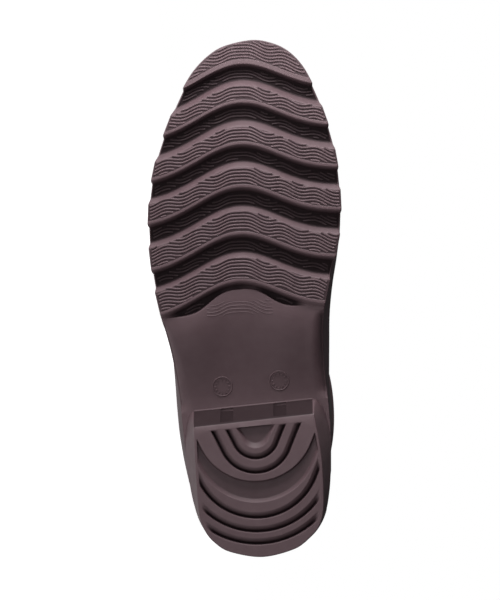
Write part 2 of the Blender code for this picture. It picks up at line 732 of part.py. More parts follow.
def main():
    for thing in list(bpy.data.objects):
        bpy.data.objects.remove(thing)
    boot = bpy.data.collections.new("rain_boot")
    cutters = bpy.data.collections.new("cutters")
    for collection in (boot, cutters):
        bpy.context.scene.collection.children.link(collection)
    lying = bpy.data.objects.new("lying_boot", None)
    boot.objects.link(lying)
    pieces = [make_upper(boot), make_outsole(boot), make_heel(boot), make_insole(boot)]
    bpy.context.view_layer.update()
    lay_down(lying, pieces)
    for piece in pieces:
        piece.parent = lying
    cut_breast_pockets(pieces[2], cutters)


main()
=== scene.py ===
# %% [markdown]
# # A rubber rain boot, lying on its outer side
# The plain solids of a right rain boot are already packed as a fixed frame. This lesson gives them their
# looks: rounded mouldings, a rippled tread, a textile lining and satin rubber. Every form is worked out in
# the boot's own frame, in millimetres: x runs from the back of the heel to the toe, y to the medial (inner)
# side of the foot and z up from the tread. One matrix then lays the finished meshes on the floor in metres.

# %% Load the frame
import json
from collections import namedtuple

import bmesh
import bpy
import numpy as np
from mathutils import Matrix, Vector


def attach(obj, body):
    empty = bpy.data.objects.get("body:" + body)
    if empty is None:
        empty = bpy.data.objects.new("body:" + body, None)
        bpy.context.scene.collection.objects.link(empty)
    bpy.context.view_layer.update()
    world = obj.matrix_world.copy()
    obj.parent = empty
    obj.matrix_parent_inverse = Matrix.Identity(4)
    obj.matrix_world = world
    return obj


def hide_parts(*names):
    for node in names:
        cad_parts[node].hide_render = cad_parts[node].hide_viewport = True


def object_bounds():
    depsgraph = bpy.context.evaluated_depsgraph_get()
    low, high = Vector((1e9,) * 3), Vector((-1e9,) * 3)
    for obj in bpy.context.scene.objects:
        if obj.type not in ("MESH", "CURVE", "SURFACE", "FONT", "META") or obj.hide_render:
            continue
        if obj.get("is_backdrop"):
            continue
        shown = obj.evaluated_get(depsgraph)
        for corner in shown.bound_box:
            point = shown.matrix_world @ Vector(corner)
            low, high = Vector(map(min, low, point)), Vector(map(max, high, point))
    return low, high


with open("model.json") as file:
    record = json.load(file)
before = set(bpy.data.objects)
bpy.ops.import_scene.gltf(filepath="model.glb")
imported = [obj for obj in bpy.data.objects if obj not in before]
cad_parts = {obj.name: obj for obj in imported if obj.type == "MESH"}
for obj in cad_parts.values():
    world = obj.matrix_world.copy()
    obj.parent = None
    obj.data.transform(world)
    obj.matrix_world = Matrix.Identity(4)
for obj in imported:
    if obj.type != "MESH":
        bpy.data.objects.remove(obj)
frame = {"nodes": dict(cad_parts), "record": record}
solid_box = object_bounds()
print("solids in the frame:", sorted(frame["nodes"]))

# %% [markdown]
# ## Where the boot lies
# The record holds two mounts on the tread, one under the heel and one under the ball. Their two points and
# their common normal are enough to find how the boot lies, so nothing has to be fitted by eye.

# %% From the boot's frame to the floor
MM = 0.001
HEEL_SPOT = np.array((25.3, 0.8))
BALL_SPOT = np.array((170.8, 1.0))


def boot_matrix():
    """Matrix from boot millimetres to metres on the floor."""
    mounts = {mount["name"]: mount for mount in frame["record"]["mounts"]}
    heel = Vector(mounts["heel_tread"]["pos_m"])
    ball = Vector(mounts["forefoot_tread"]["pos_m"])
    up = -Vector(mounts["heel_tread"]["axis"]).normalized()
    reach = (ball - heel).normalized()
    run, rise = (BALL_SPOT - HEEL_SPOT) / np.linalg.norm(BALL_SPOT - HEEL_SPOT)
    forward = float(run) * reach - float(rise) * up.cross(reach)
    turn = Matrix((forward, up.cross(forward), up)).transposed()
    start = heel - turn @ Vector((*HEEL_SPOT, 0)) * MM
    return Matrix.Translation(start) @ turn.to_4x4() @ Matrix.Scale(MM, 4)


LAID = boot_matrix()


def moved(points, matrix):
    """Points after a matrix has moved them."""
    matrix = np.array(matrix)
    return np.asarray(points) @ matrix[:3, :3].T + matrix[:3, 3]


def lay(points):
    """Carry boot points in millimetres to the floor."""
    return moved(points, LAID)


def unlay(points):
    """Carry points on the floor back to boot millimetres."""
    return moved(points, LAID.inverted())


print("the toe points along", lay([(1, 0, 0)])[0] - lay([(0, 0, 0)])[0])

# %% [markdown]
# ## The camera
# The photograph looks straight at the sole from well in front of it, with the toe up. The boot lies down
# here, so the camera is rolled until the toe is up in the picture again. It stands a little to the boot's
# inner side, as the photograph's camera did, and turns to bring the boot to the middle of the picture.

# %% Camera
CAMERA_SPOT = (131, 40, -1400)
CAMERA_AIM = (131.5, 1.0, 6)
PICTURE_HEIGHT = 306
TOE_LEAN = np.radians(2.6)
SENSOR = 36


def add_camera():
    """A long lens in front of the sole."""
    spot, aim = (Vector(point) for point in lay((CAMERA_SPOT, CAMERA_AIM)))
    back = (spot - aim).normalized()
    toe = LAID.to_3x3() @ Vector((1, 0, 0))
    toe = (toe - toe.dot(back) * back).normalized()
    up = Matrix.Rotation(-TOE_LEAN, 3, back) @ toe
    data = bpy.data.cameras.new("camera")
    data.sensor_width = SENSOR
    data.lens = SENSOR * (spot - aim).length / (PICTURE_HEIGHT * MM)
    camera = bpy.data.objects.new("camera", data)
    turn = Matrix((up.cross(back), up, back)).transposed()
    camera.matrix_world = Matrix.Translation(spot) @ turn.to_4x4()
    bpy.context.scene.collection.objects.link(camera)
    bpy.context.scene.camera = camera
    print("camera above the floor:", round(spot.z, 3), "m, lens", round(data.lens), "mm")


add_camera()

# %% [markdown]
# ## Light and floor
# The tread reads by its shadows: a lamp beyond the toe grazes the lugs, so the faces towards the toe are
# light and those towards the heel dark. It stands near, so its light falls off along the sole. A weak lamp
# in front lifts the shadows and a weaker one lights the shaft. The floor is plain and pale and glows as a
# light table does, to stay white beside the dark rubber. A dim sky, brighter beyond the toe, does the rest.

# %% Stage
LampRow = namedtuple("LampRow", "name spot aim size power")
LAMPS = (
    LampRow("toe_lamp", (620, 40, -190), (150, 0, 0), 0.16, 6.2),
    LampRow("front_lamp", (600, 120, -1300), (130, 0, 0), 0.60, 5.5),
    LampRow("shaft_lamp", (420, 900, 520), (80, 0, 120), 0.80, 0.7),
)
FLOOR_REACH = 40
FLOOR_COLOUR = (0.7, 0.7, 0.7)
FLOOR_GLOW = 0.97
SKY_TOE = (0.16, 0.16, 0.16)
SKY_HEEL = (0.04, 0.04, 0.04)
WHITE = (1, 1, 1, 1)


def add_lamp(row):
    """A square area lamp that faces its aim."""
    spot, aim = (Vector(point) for point in lay((row.spot, row.aim)))
    data = bpy.data.lights.new(row.name, "AREA")
    data.size = row.size
    data.energy = row.power
    lamp = bpy.data.objects.new(row.name, data)
    lamp.location = spot
    lamp.rotation_mode = "QUATERNION"
    lamp.rotation_quaternion = (aim - spot).to_track_quat("-Z", "Y")
    bpy.context.scene.collection.objects.link(lamp)


def feed(tree, socket, value):
    """Link an output to a socket, or set the socket to a fixed value."""
    if isinstance(value, bpy.types.NodeSocket):
        tree.links.new(value, socket)
    elif value is not None:
        socket.default_value = value


def mix_colours(tree, share, first, second):
    """A Mix node between two colours; returns its output."""
    node = tree.nodes.new("ShaderNodeMix")
    node.data_type = "RGBA"
    for title, value in (("Factor", share), ("A", first), ("B", second)):
        feed(tree, node.inputs[title], value)
    return node.outputs["Result"]


def add_sky():
    """A sky that is bright beyond the toe and dim beyond the heel, and plain white behind the boot."""
    world = bpy.data.worlds.new("sky")
    bpy.context.scene.world = world
    world.use_nodes = True
    nodes, links = world.node_tree.nodes, world.node_tree.links
    nodes.clear()
    place = nodes.new("ShaderNodeTexCoord")
    split = nodes.new("ShaderNodeSeparateXYZ")
    share = nodes.new("ShaderNodeMapRange")
    share.inputs["From Min"].default_value = -1
    tone = mix_colours(world.node_tree, share.outputs["Result"], (*SKY_TOE, 1), (*SKY_HEEL, 1))
    light = nodes.new("ShaderNodeBackground")
    seen = nodes.new("ShaderNodeBackground")
    ray = nodes.new("ShaderNodeLightPath")
    choose = nodes.new("ShaderNodeMixShader")
    output = nodes.new("ShaderNodeOutputWorld")
    seen.inputs["Color"].default_value = WHITE
    links.new(place.outputs["Generated"], split.inputs["Vector"])
    links.new(split.outputs["X"], share.inputs["Value"])
    links.new(tone, light.inputs["Color"])
    links.new(ray.outputs["Is Camera Ray"], choose.inputs["Fac"])
    links.new(light.outputs["Background"], choose.inputs[1])
    links.new(seen.outputs["Background"], choose.inputs[2])
    links.new(choose.outputs["Shader"], output.inputs["Surface"])


def add_floor():
    """The pale floor under the boot."""
    mesh = bmesh.new()
    bmesh.ops.create_grid(mesh, x_segments=1, y_segments=1, size=FLOOR_REACH / 2)
    data = bpy.data.meshes.new("floor")
    mesh.to_mesh(data)
    mesh.free()
    paint = bpy.data.materials.new("floor_paint")
    paint.use_nodes = True
    shader = paint.node_tree.nodes["Principled BSDF"]
    shader.inputs["Base Color"].default_value = (*FLOOR_COLOUR, 1)
    shader.inputs["Specular IOR Level"].default_value = 0
    shader.inputs["Emission Color"].default_value = WHITE
    shader.inputs["Emission Strength"].default_value = FLOOR_GLOW
    data.materials.append(paint)
    floor = bpy.data.objects.new("floor", data)
    bpy.context.scene.collection.objects.link(floor)
    floor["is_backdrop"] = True


for lamp_row in LAMPS:
    add_lamp(lamp_row)
add_sky()
add_floor()
bpy.context.scene.view_settings.view_transform = "Standard"
print("lamps:", [row.name for row in LAMPS])

# %% [markdown]
# ## Rubber and cloth
# Moulded rubber is one colour, but never flat: a paler bloom drifts over it, its gloss wanders and the
# mould leaves a fine grain. All the rubber pieces share these effects, so they are one shader group with
# named inputs. The group also paints shade: where a piece marks its grooves, pockets and sunken fields,
# it darkens the colour towards black. The gloss is a thin coat, because its weight can fade out there,
# as painted shade on the reflections where a hollow keeps the light away. Lining and insole share a
# second group, a plain weave that follows each piece's own UV map.

# %% Shader groups
BLACK = (0, 0, 0, 1)
DRIFT_SCALE = 28
PATCH_SCALE = 190
FUZZ_SCALE = 2600
NOISE_MIDDLE = 0.5


def new_group(name, inputs, outputs):
    """A shader group with named sockets; returns it with its input and output nodes."""
    group = bpy.data.node_groups.new(name, "ShaderNodeTree")
    for title, kind, value in inputs:
        group.interface.new_socket(title, in_out="INPUT", socket_type=kind).default_value = value
    for title, kind in outputs:
        group.interface.new_socket(title, in_out="OUTPUT", socket_type=kind)
    return group, group.nodes.new("NodeGroupInput"), group.nodes.new("NodeGroupOutput")


def math_node(tree, kind, first, second=None):
    """A Math node fed by sockets or numbers; returns its output."""
    node = tree.nodes.new("ShaderNodeMath")
    node.operation = kind
    for socket, value in zip(node.inputs, (first, second)):
        feed(tree, socket, value)
    return node.outputs["Value"]


def noise(tree, place, scale, detail):
    """A noise texture at a number or a socket for its scale; returns its output."""
    node = tree.nodes.new("ShaderNodeTexNoise")
    for title, value in (("Vector", place), ("Scale", scale), ("Detail", detail)):
        feed(tree, node.inputs[title], value)
    return node.outputs["Fac"]


def rubber_group():
    """Bloom, wandering gloss, mould grain, and painted shade that darkens colour and gloss in hollows."""
    colour, number = "NodeSocketColor", "NodeSocketFloat"
    group, given, made = new_group(
        "rubber_skin",
        (
            ("Deep colour", colour, (0.05, 0.03, 0.03, 1)),
            ("Bloom colour", colour, (0.08, 0.05, 0.05, 1)),
            ("Bloom", number, 0.5),
            ("Gloss", number, 0.5),
            ("Gloss swing", number, 0.4),
            ("Grain scale", number, 1500),
            ("Recess shade", number, 0.86),
        ),
        (("Colour", colour), ("Gloss", number), ("Grain", number)),
    )
    place = group.nodes.new("ShaderNodeTexCoord").outputs["Object"]
    drift = noise(group, place, DRIFT_SCALE, detail=3)
    patch = noise(group, place, PATCH_SCALE, detail=4)
    mask = math_node(group, "MULTIPLY", math_node(group, "ADD", drift, patch), given.outputs["Bloom"])
    tone = mix_colours(group, mask, given.outputs["Deep colour"], given.outputs["Bloom colour"])
    # Painted shade: the piece's painted_shade attribute, times Recess shade, darkens the colour towards
    # black.
    painted_shade = group.nodes.new("ShaderNodeAttribute")
    painted_shade.attribute_name = "painted_shade"
    depth = math_node(group, "MULTIPLY", painted_shade.outputs["Fac"], given.outputs["Recess shade"])
    group.links.new(mix_colours(group, depth, tone, BLACK), made.inputs["Colour"])
    away = math_node(group, "SUBTRACT", patch, NOISE_MIDDLE)
    swing = math_node(group, "MULTIPLY", away, given.outputs["Gloss swing"])
    gloss = math_node(group, "MULTIPLY", math_node(group, "ADD", swing, 1.0), given.outputs["Gloss"])
    # Painted shade on the reflections: the coat's gloss fades out as far as the colour is darkened.
    open_gloss = math_node(group, "MULTIPLY", math_node(group, "SUBTRACT", 1.0, depth), gloss)
    group.links.new(open_gloss, made.inputs["Gloss"])
    group.links.new(noise(group, place, given.outputs["Grain scale"], detail=2), made.inputs["Grain"])
    return group


def weave_group():
    """A plain weave on a UV map in metres."""
    colour, number = "NodeSocketColor", "NodeSocketFloat"
    group, given, made = new_group(
        "plain_weave",
        (
            ("Thread colour", colour, (0.2, 0.2, 0.2, 1)),
            ("Gap colour", colour, (0.1, 0.1, 0.1, 1)),
            ("Threads per metre", number, 900),
        ),
        (("Colour", colour), ("Height", number)),
    )
    uv = group.nodes.new("ShaderNodeTexCoord").outputs["UV"]
    split = group.nodes.new("ShaderNodeSeparateXYZ")
    group.links.new(uv, split.inputs["Vector"])
    turns = math_node(group, "MULTIPLY", given.outputs["Threads per metre"], np.pi)
    waves = [
        math_node(group, "SINE", math_node(group, "MULTIPLY", split.outputs[axis], turns)) for axis in "XY"
    ]
    height = math_node(group, "ABSOLUTE", math_node(group, "MULTIPLY", *waves))
    fuzz = math_node(group, "MULTIPLY", noise(group, uv, FUZZ_SCALE, detail=2), height)
    tone = mix_colours(group, fuzz, given.outputs["Gap colour"], given.outputs["Thread colour"])
    group.links.new(tone, made.inputs["Colour"])
    group.links.new(height, made.inputs["Height"])
    return group


RUBBER_GROUP = rubber_group()
WEAVE_GROUP = weave_group()
print("shader groups:", RUBBER_GROUP.name, WEAVE_GROUP.name)

# %% Materials
RubberRow = namedtuple("RubberRow", "deep bloom roughness gloss grain bump")
RUBBERS = {
    "tread_rubber": RubberRow((0.044, 0.025, 0.029), (0.060, 0.036, 0.041), 0.62, 0.50, 1500, 0.12),
    # The tread rubber with painted shade: darker and less glossy, for the ripples down in the grooves.
    "groove_painted_shade_rubber": RubberRow((0.014, 0.008, 0.009), (0.019, 0.011, 0.013), 0.62, 0.24, 1500, 0.12),
    "heel_rubber": RubberRow((0.044, 0.025, 0.029), (0.060, 0.036, 0.041), 0.60, 0.58, 1500, 0.12),
    "upper_rubber": RubberRow((0.040, 0.023, 0.027), (0.054, 0.032, 0.037), 0.48, 0.60, 900, 0.08),
}
ClothRow = namedtuple("ClothRow", "thread gap threads bump")
CLOTHS = {
    "lining_cloth": ClothRow((0.115, 0.098, 0.092), (0.040, 0.034, 0.032), 1000, 0.5),
    "insole_cloth": ClothRow((0.160, 0.128, 0.118), (0.050, 0.038, 0.036), 760, 0.6),
}
GRAIN_DEPTH = 0.00012
THREAD_DEPTH = 0.00035
CLOTH_ROUGHNESS = 0.9
CLOTH_SHEEN = 0.25


def new_material(name):
    """A material with its Principled shader."""
    material = bpy.data.materials.new(name)
    material.use_nodes = True
    return material, material.node_tree, material.node_tree.nodes["Principled BSDF"]


def place_group(tree, group, values):
    """Place a shader group with its own values."""
    node = tree.nodes.new("ShaderNodeGroup")
    node.node_tree = group
    for title, value in values.items():
        node.inputs[title].default_value = value
    return node


def add_bump(tree, shader, height, strength, distance):
    """Feed a height to the shader's normal."""
    bump = tree.nodes.new("ShaderNodeBump")
    bump.inputs["Strength"].default_value = strength
    bump.inputs["Distance"].default_value = distance
    tree.links.new(height, bump.inputs["Height"])
    tree.links.new(bump.outputs["Normal"], shader.inputs["Normal"])


def rubber_material(name, row):
    """Satin moulded rubber."""
    material, tree, shader = new_material(name)
    values = {
        "Deep colour": (*row.deep, 1),
        "Bloom colour": (*row.bloom, 1),
        "Gloss": row.gloss,
        "Grain scale": row.grain,
    }
    skin = place_group(tree, RUBBER_GROUP, values)
    tree.links.new(skin.outputs["Colour"], shader.inputs["Base Color"])
    tree.links.new(skin.outputs["Gloss"], shader.inputs["Coat Weight"])
    shader.inputs["Coat Roughness"].default_value = row.roughness
    shader.inputs["Roughness"].default_value = row.roughness
    shader.inputs["Specular IOR Level"].default_value = 0
    add_bump(tree, shader, skin.outputs["Grain"], row.bump, GRAIN_DEPTH)
    return material


def cloth_material(name, row):
    """Matt woven cloth."""
    material, tree, shader = new_material(name)
    values = {
        "Thread colour": (*row.thread, 1),
        "Gap colour": (*row.gap, 1),
        "Threads per metre": row.threads,
    }
    weave = place_group(tree, WEAVE_GROUP, values)
    shader.inputs["Roughness"].default_value = CLOTH_ROUGHNESS
    shader.inputs["Sheen Weight"].default_value = CLOTH_SHEEN
    tree.links.new(weave.outputs["Colour"], shader.inputs["Base Color"])
    add_bump(tree, shader, weave.outputs["Height"], row.bump, THREAD_DEPTH)
    return material


MATERIALS = {name: rubber_material(name, row) for name, row in RUBBERS.items()}
MATERIALS.update({name: cloth_material(name, row) for name, row in CLOTHS.items()})
print("materials:", sorted(MATERIALS))

# %% [markdown]
# ## Curves, outlines and closed bodies
# A sole is drawn as a plan outline first. Rows of points then run across it, their corners are eased as a
# mould maker would ease them, and the border is carried up the side wall to a second face. The result is
# one closed mesh with no seams, which a stack of primitives couldn't give.

# %% Curves
SPLINE_STEPS = 24
HALVINGS = 40
FURTHEST_ASIDE = 80


def smooth(value):
    """Ease from 0 to 1."""
    value = np.clip(value, 0, 1)
    return value * value * (3 - 2 * value)


def table(row_type, rows):
    """Rows with named columns."""
    return [row_type(*row) for row in rows]


def spline(points, closed=False):
    """Catmull-Rom curve through the points, wrapped round or mirrored past its two ends."""
    points = np.asarray(points, float)
    before_first = points[-2] if closed else 2 * points[0] - points[1]
    after_last = points[1] if closed else 2 * points[-1] - points[-2]
    padded = np.vstack((before_first, points, after_last))
    shares = np.linspace(0, 1, SPLINE_STEPS, endpoint=False)[:, None]
    spans = []
    for before, start, end, after in zip(padded, padded[1:], padded[2:], padded[3:]):
        straight = 2 * start + (end - before) * shares
        square = (2 * before - 5 * start + 4 * end - after) * shares**2
        cube = (3 * start - before - 3 * end + after) * shares**3
        spans.append((straight + square + cube) / 2)
    return np.vstack(spans + [points[-1:]])


def lengths(path):
    """Length along a path at each of its points."""
    return np.concatenate(([0], np.cumsum(np.linalg.norm(np.diff(path, axis=0), axis=1))))


def spaced_points(path, shares):
    """Points at the given shares of the length of a path."""
    run = lengths(path)
    return np.stack([np.interp(shares * run[-1], run, axis) for axis in path.T], axis=1)


class Outline:
    """A plan outline: points from the lateral front round the back of the heel to the medial front."""

    def __init__(self, points):
        self.points = points
        back = points[:, 0].argmin()
        self.lateral_side = points[back::-1]
        self.medial_side = points[back:]
        self.back = points[back, 0]
        along = np.gradient(points, axis=0)
        along /= np.linalg.norm(along, axis=1)[:, None]
        self.normals = np.stack((-along[:, 1], along[:, 0]), axis=1)

    def lateral(self, x):
        return np.interp(x, self.lateral_side[:, 0], -self.lateral_side[:, 1])

    def medial(self, x):
        return np.interp(x, self.medial_side[:, 0], self.medial_side[:, 1])

    def inset(self, distance):
        """The outline moved inwards by a distance."""
        return Outline(self.points - distance * self.normals)

    def beside(self, plan):
        """Normals of the outline nearest to some plan points, and how far inside it the points lie."""
        nearest = np.linalg.norm(plan[:, None] - self.points[None], axis=2).argmin(axis=1)
        normals = self.normals[nearest]
        return normals, ((self.points[nearest] - plan) * normals).sum(axis=1)

    def stretch(self, start, end, shares, past_toe):
        """Points from start, on the lateral side, to end, on the medial side, by way of toe or heel."""
        facing = 1 if past_toe else -1
        lateral = self.lateral_side[facing * self.lateral_side[:, 0] > facing * start[0]]
        medial = self.medial_side[facing * self.medial_side[:, 0] > facing * end[0]]
        return spaced_points(np.vstack((start, lateral[::facing], medial[::-facing], end)), shares)


def edge_outline(rows, back_apex, front_apex=None):
    """A smooth outline through a table of edges; with a front apex it closes there."""
    lateral = [(row.x, -row.lateral) for row in reversed(rows)]
    medial = [(row.x, row.medial) for row in rows]
    ends = [front_apex] if front_apex else []
    return Outline(spline(ends + lateral + [back_apex] + medial + ends, closed=bool(front_apex)))


def straight_line(x):
    """A straight line across the sole at a distance from the heel."""
    return lambda y: x + 0 * y


def row_across(outline, line, shares):
    """Points of the line x(y) from the lateral edge of the outline to its medial edge."""
    ends = []
    for edge, outside in ((outline.lateral, -1), (outline.medial, 1)):
        inner, outer = 0.0, outside * FURTHEST_ASIDE
        for _ in range(HALVINGS):
            middle = (inner + outer) / 2
            if outside * middle < edge(line(middle)):
                inner = middle
            else:
                outer = middle
        ends.append(inner)
    y = ends[0] + (ends[1] - ends[0]) * shares
    return np.stack((line(y), y), axis=1)


def with_ends(outline, rows, shares, end_rows):
    """Add the rows that fill the plan out to the back of the outline and to its toe."""
    heel = outline.stretch(rows[0][0], rows[0][-1], shares, past_toe=False)
    toe = outline.stretch(rows[-1][0], rows[-1][-1], shares, past_toe=True)
    steps = np.arange(end_rows) / end_rows
    back = [heel + (rows[0] - heel) * step for step in steps]
    front = [rows[-1] + (toe - rows[-1]) * (1 - step) for step in steps[::-1]]
    return np.array(back + rows + front)


def with_height(plan, height):
    """Add heights to plan points."""
    return np.concatenate((plan, np.broadcast_to(height, plan.shape[:-1])[..., None]), axis=-1)


# %% Closed bodies
EASE_STEPS = 5
EASE_MOST = 0.42
EASE_SUPPORT = 1.15
EASE_STRAIGHT = np.cos(np.radians(12))
LEAST_WIDTH = 0.01
SHARP_ANGLE = np.radians(42)
ROUND_ANGLES = np.radians((30, 60, 90))


def ease_rows(rows, radii):
    """Ease the rows where a surface bends with short curves; a row on a straight stretch stays single."""
    shares = np.linspace(0, 1, EASE_STEPS)[:, None, None]
    radii = np.broadcast_to(radii, len(rows))
    made = [rows[:1]]
    for before, corner, after, radius in zip(rows, rows[1:], rows[2:], radii[1:]):
        sides = (before - corner, after - corner)
        apart = [np.maximum(np.linalg.norm(side[:, :3], axis=1), LEAST_WIDTH)[:, None] for side in sides]
        straight = -(sides[0] * sides[1])[:, :3].sum(axis=1) / (apart[0] * apart[1])[:, 0]
        if straight.min() > EASE_STRAIGHT:
            made.append(corner[None])
            continue
        ends = [side * np.minimum(EASE_MOST, radius / reach) for side, reach in zip(sides, apart)]
        start, end = corner + ends[0], corner + ends[1]
        curve = (1 - shares) ** 2 * start + 2 * shares * (1 - shares) * corner + shares**2 * end
        supports = [(corner + EASE_SUPPORT * reach)[None] for reach in ends]
        made += [supports[0], curve, supports[1]]
    made.append(rows[-1:])
    return np.concatenate(made)


def grid_places(shape):
    """The numbers of a grid's points, row by row."""
    return np.arange(shape[0] * shape[1]).reshape(shape[:2])


def border_order(shape):
    """Places of a grid's border points, once round from the lateral heel by the medial side and the toe."""
    places = grid_places(shape)
    return np.concatenate((places[0, :-1], places[:-1, -1], places[-1, :0:-1], places[:0:-1, 0]))


def grid_faces(shape):
    """Quads of a grid of points."""
    places = grid_places(shape)
    corners = (places[:-1, :-1], places[:-1, 1:], places[1:, 1:], places[1:, :-1])
    return np.stack(corners, axis=-1).reshape(-1, 4)


def ring_faces(first, second):
    """Quads between two loops of point numbers."""
    return np.stack((first, np.roll(first, -1), np.roll(second, -1), second), axis=1)


def add_mesh(name, points, faces, material, painted_shade=None):
    """A finished mesh on the floor, with its faces pointing out and the painted shade of its points stored.
    """
    data = bpy.data.meshes.new(name)
    data.from_pydata(lay(points).tolist(), [], [list(face) for face in faces])
    mesh = bmesh.new()
    mesh.from_mesh(data)
    bmesh.ops.recalc_face_normals(mesh, faces=mesh.faces)
    mesh.to_mesh(data)
    mesh.free()
    data.materials.append(MATERIALS[material])
    data.shade_smooth()
    data.set_sharp_from_angle(angle=SHARP_ANGLE)
    if painted_shade is not None:
        data.attributes.new("painted_shade", "FLOAT", "POINT").data.foreach_set("value", painted_shade)
    piece = bpy.data.objects.new(name, data)
    bpy.context.scene.collection.objects.link(piece)
    return piece


def closed_body(name, bottom, loops, top, material):
    """A body from a bottom grid, loops up its side and a top grid; a fourth column holds painted shade."""
    count = bottom.shape[0] * bottom.shape[1]
    border = border_order(bottom.shape)
    numbers = [count + np.arange(len(border)) + len(border) * number for number in range(len(loops))]
    top_start = count + len(border) * len(loops)
    rings = [border] + numbers + [border + top_start]
    walls = [ring_faces(first, second) for first, second in zip(rings, rings[1:])]
    faces = np.vstack([grid_faces(bottom.shape)] + walls + [grid_faces(top.shape)[:, ::-1] + top_start])
    points = np.vstack((bottom[..., :3].reshape(-1, 3), *loops, top.reshape(-1, 3)))
    painted_shade = np.zeros(len(points))
    painted_shade[:count] = bottom[..., 3:].sum(axis=-1).ravel()
    return add_mesh(name, points, faces, material, painted_shade)


def border_points(grid):
    """The border points of a grid, once round."""
    return grid.reshape(-1, grid.shape[-1])[border_order(grid.shape)]


def hand_over(piece, slot, *nodes):
    """Let a finished piece ride on the boot and stand for its solids."""
    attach(piece, "root")
    if nodes:
        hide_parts(*nodes)
    faces = sum(len(face.vertices) - 2 for face in piece.data.polygons)
    print(piece.name, "has", faces, "triangles")


# %% [markdown]
# ## The outsole
# One rubber moulding carries the wave lugs of the forefoot, the arched waist and the seat of the heel. Each
# lug has a sloping face towards the toe and a steep one towards the heel. All their edges are one wave
# moved along the sole, so one function of the distance from its crest makes them all. From toe to heel the
# crest drifts a little to the lateral side.

# %% Outsole sizes
EdgeRow = namedtuple("EdgeRow", "x lateral medial")
SOLE_EDGE = table(
    EdgeRow,
    (
        (3.5, 15.5, 18.5),
        (8, 22.9, 25.7),
        (14, 27.7, 31.3),
        (22, 31.3, 35.0),
        (34, 33.9, 37.4),
        (48, 35.4, 38.5),
        (62, 36.4, 38.9),
        (77, 37.3, 38.5),
        (92, 38.7, 37.5),
        (107, 40.7, 37.2),
        (122, 44.0, 38.2),
        (137, 47.0, 41.5),
        (152, 48.7, 45.9),
        (168, 49.4, 49.2),
        (184, 48.2, 49.7),
        (200, 45.2, 48.8),
        (215, 40.2, 46.1),
        (229, 34.3, 42.1),
        (240.5, 28.6, 37.8),
        (250, 22.3, 33.0),
        (257.5, 14.4, 26.4),
        (262, 5.8, 18.6),
    ),
)
SOLE_BACK = (0, 1.5)
SOLE_TOE = (264.3, 8.2)
HEEL_HEIGHT = 15.5
SEAT_HEIGHT = 24
SEAT_RISE_START = 156
SEAT_RISE_END = 60
FOREFOOT_HEIGHT = 10
LUG_DEPTH = 4
WAIST_STEP = 2
TOE_SPRING = 9
TOE_SPRING_START = 195
FIT_GAP = 0.3
GrooveRow = namedtuple("GrooveRow", "rear_edge floor_end lug_front rear_ease rear_margin")
GROOVES = table(
    GrooveRow,
    (
        (252.0, 244.2, 240.9, 0.5, 2.4),
        (231.9, 223.5, 219.9, 0.8, 1.5),
        (210.5, 202.5, 199.3, 1.2, 1.5),
        (188.7, 180.0, 176.8, 1.6, 1.6),
        (164.8, 156.5, 153.6, 1.7, 1.6),
    ),
)
LugRearRow = namedtuple("LugRearRow", "rear_edge rear_ease rear_margin")
LAST_LUG = LugRearRow(140.9, 1.7, 1.6)
LUG_REAR_DRAFT = 1.8
WAVE_CREST_X = 232
WAVE_CREST_Y = 1
WAVE_CREST_LEAN = 0.05
WAVE_DROP = {-1: 18.6, 1: 14.3}
WAVE_REACH = {-1: 31, 1: 27}
WAIST_FRONT_X = 126.2
WAIST_FRONT_SLANT = 0.049
WAIST_DOME = 11.1
WAIST_DOME_Y = -4.2
WAIST_DOME_REACH = 17.5
WAIST_GROOVE_LEAST = 0.8
WAIST_GROOVE_FADE = 2.4
FlankRow = namedtuple("FlankRow", "front rear")
WAIST_FLANK = {-1: FlankRow(2.2, 6.4), 1: FlankRow(5.0, 6.4)}
WAIST_FLANK_RISE = 5.5
WAIST_FLANK_ROOM = 3
WAIST_FLANK_FADE = 0.12
BREAST_TOP_X = 77.5
BREAST_TOP_SLANT = 0.06
EDGE_ROUND = 0.6
SOLE = edge_outline(SOLE_EDGE, SOLE_BACK, SOLE_TOE)
SOLE_INNER = SOLE.inset(EDGE_ROUND)


def aside_of(y, crest):
    """Distance to the side of a wave's crest, which drifts to the lateral side towards the heel."""
    return y - WAVE_CREST_Y - WAVE_CREST_LEAN * (crest - WAVE_CREST_X)


def wave_drop(y, crest):
    """How far a tread wave falls back from its crest at a distance to either side."""
    aside = aside_of(y, crest)
    lateral, medial = (
        WAVE_DROP[side] * (1 - np.exp(-((aside / WAVE_REACH[side]) ** 2))) for side in (-1, 1)
    )
    return np.where(aside < 0, lateral, medial)


def wave_line(crest):
    """A line across the sole that follows the tread wave."""
    return lambda y: crest - wave_drop(y, crest)


def last_floor_line(y):
    """Foot of the rear wall of the last lug."""
    return wave_line(LAST_LUG.rear_edge - LUG_REAR_DRAFT)(y)


def waist_dome_line(y):
    """The domed front edge of the waist, before the last lug cuts it short."""
    dome = WAIST_DOME * np.exp(-(np.abs((y - WAIST_DOME_Y) / WAIST_DOME_REACH) ** 3))
    return WAIST_FRONT_X + WAIST_FRONT_SLANT * y + dome


def waist_line(y):
    """Front edge of the waist."""
    return np.minimum(waist_dome_line(y), last_floor_line(y) - WAIST_GROOVE_LEAST)


def last_groove_open(y):
    """1 where the last groove is open and 0 where the waist closes it."""
    return smooth((last_floor_line(y) - waist_dome_line(y)) / WAIST_GROOVE_FADE)


def last_floor_height(y, depth):
    """Height of the floor of the last groove, which rises to the waist where it closes."""
    return WAIST_STEP + (depth - WAIST_STEP) * last_groove_open(y)


def breast_line(y):
    """The line across the sole where the heel breast meets the waist."""
    return BREAST_TOP_X + BREAST_TOP_SLANT * y


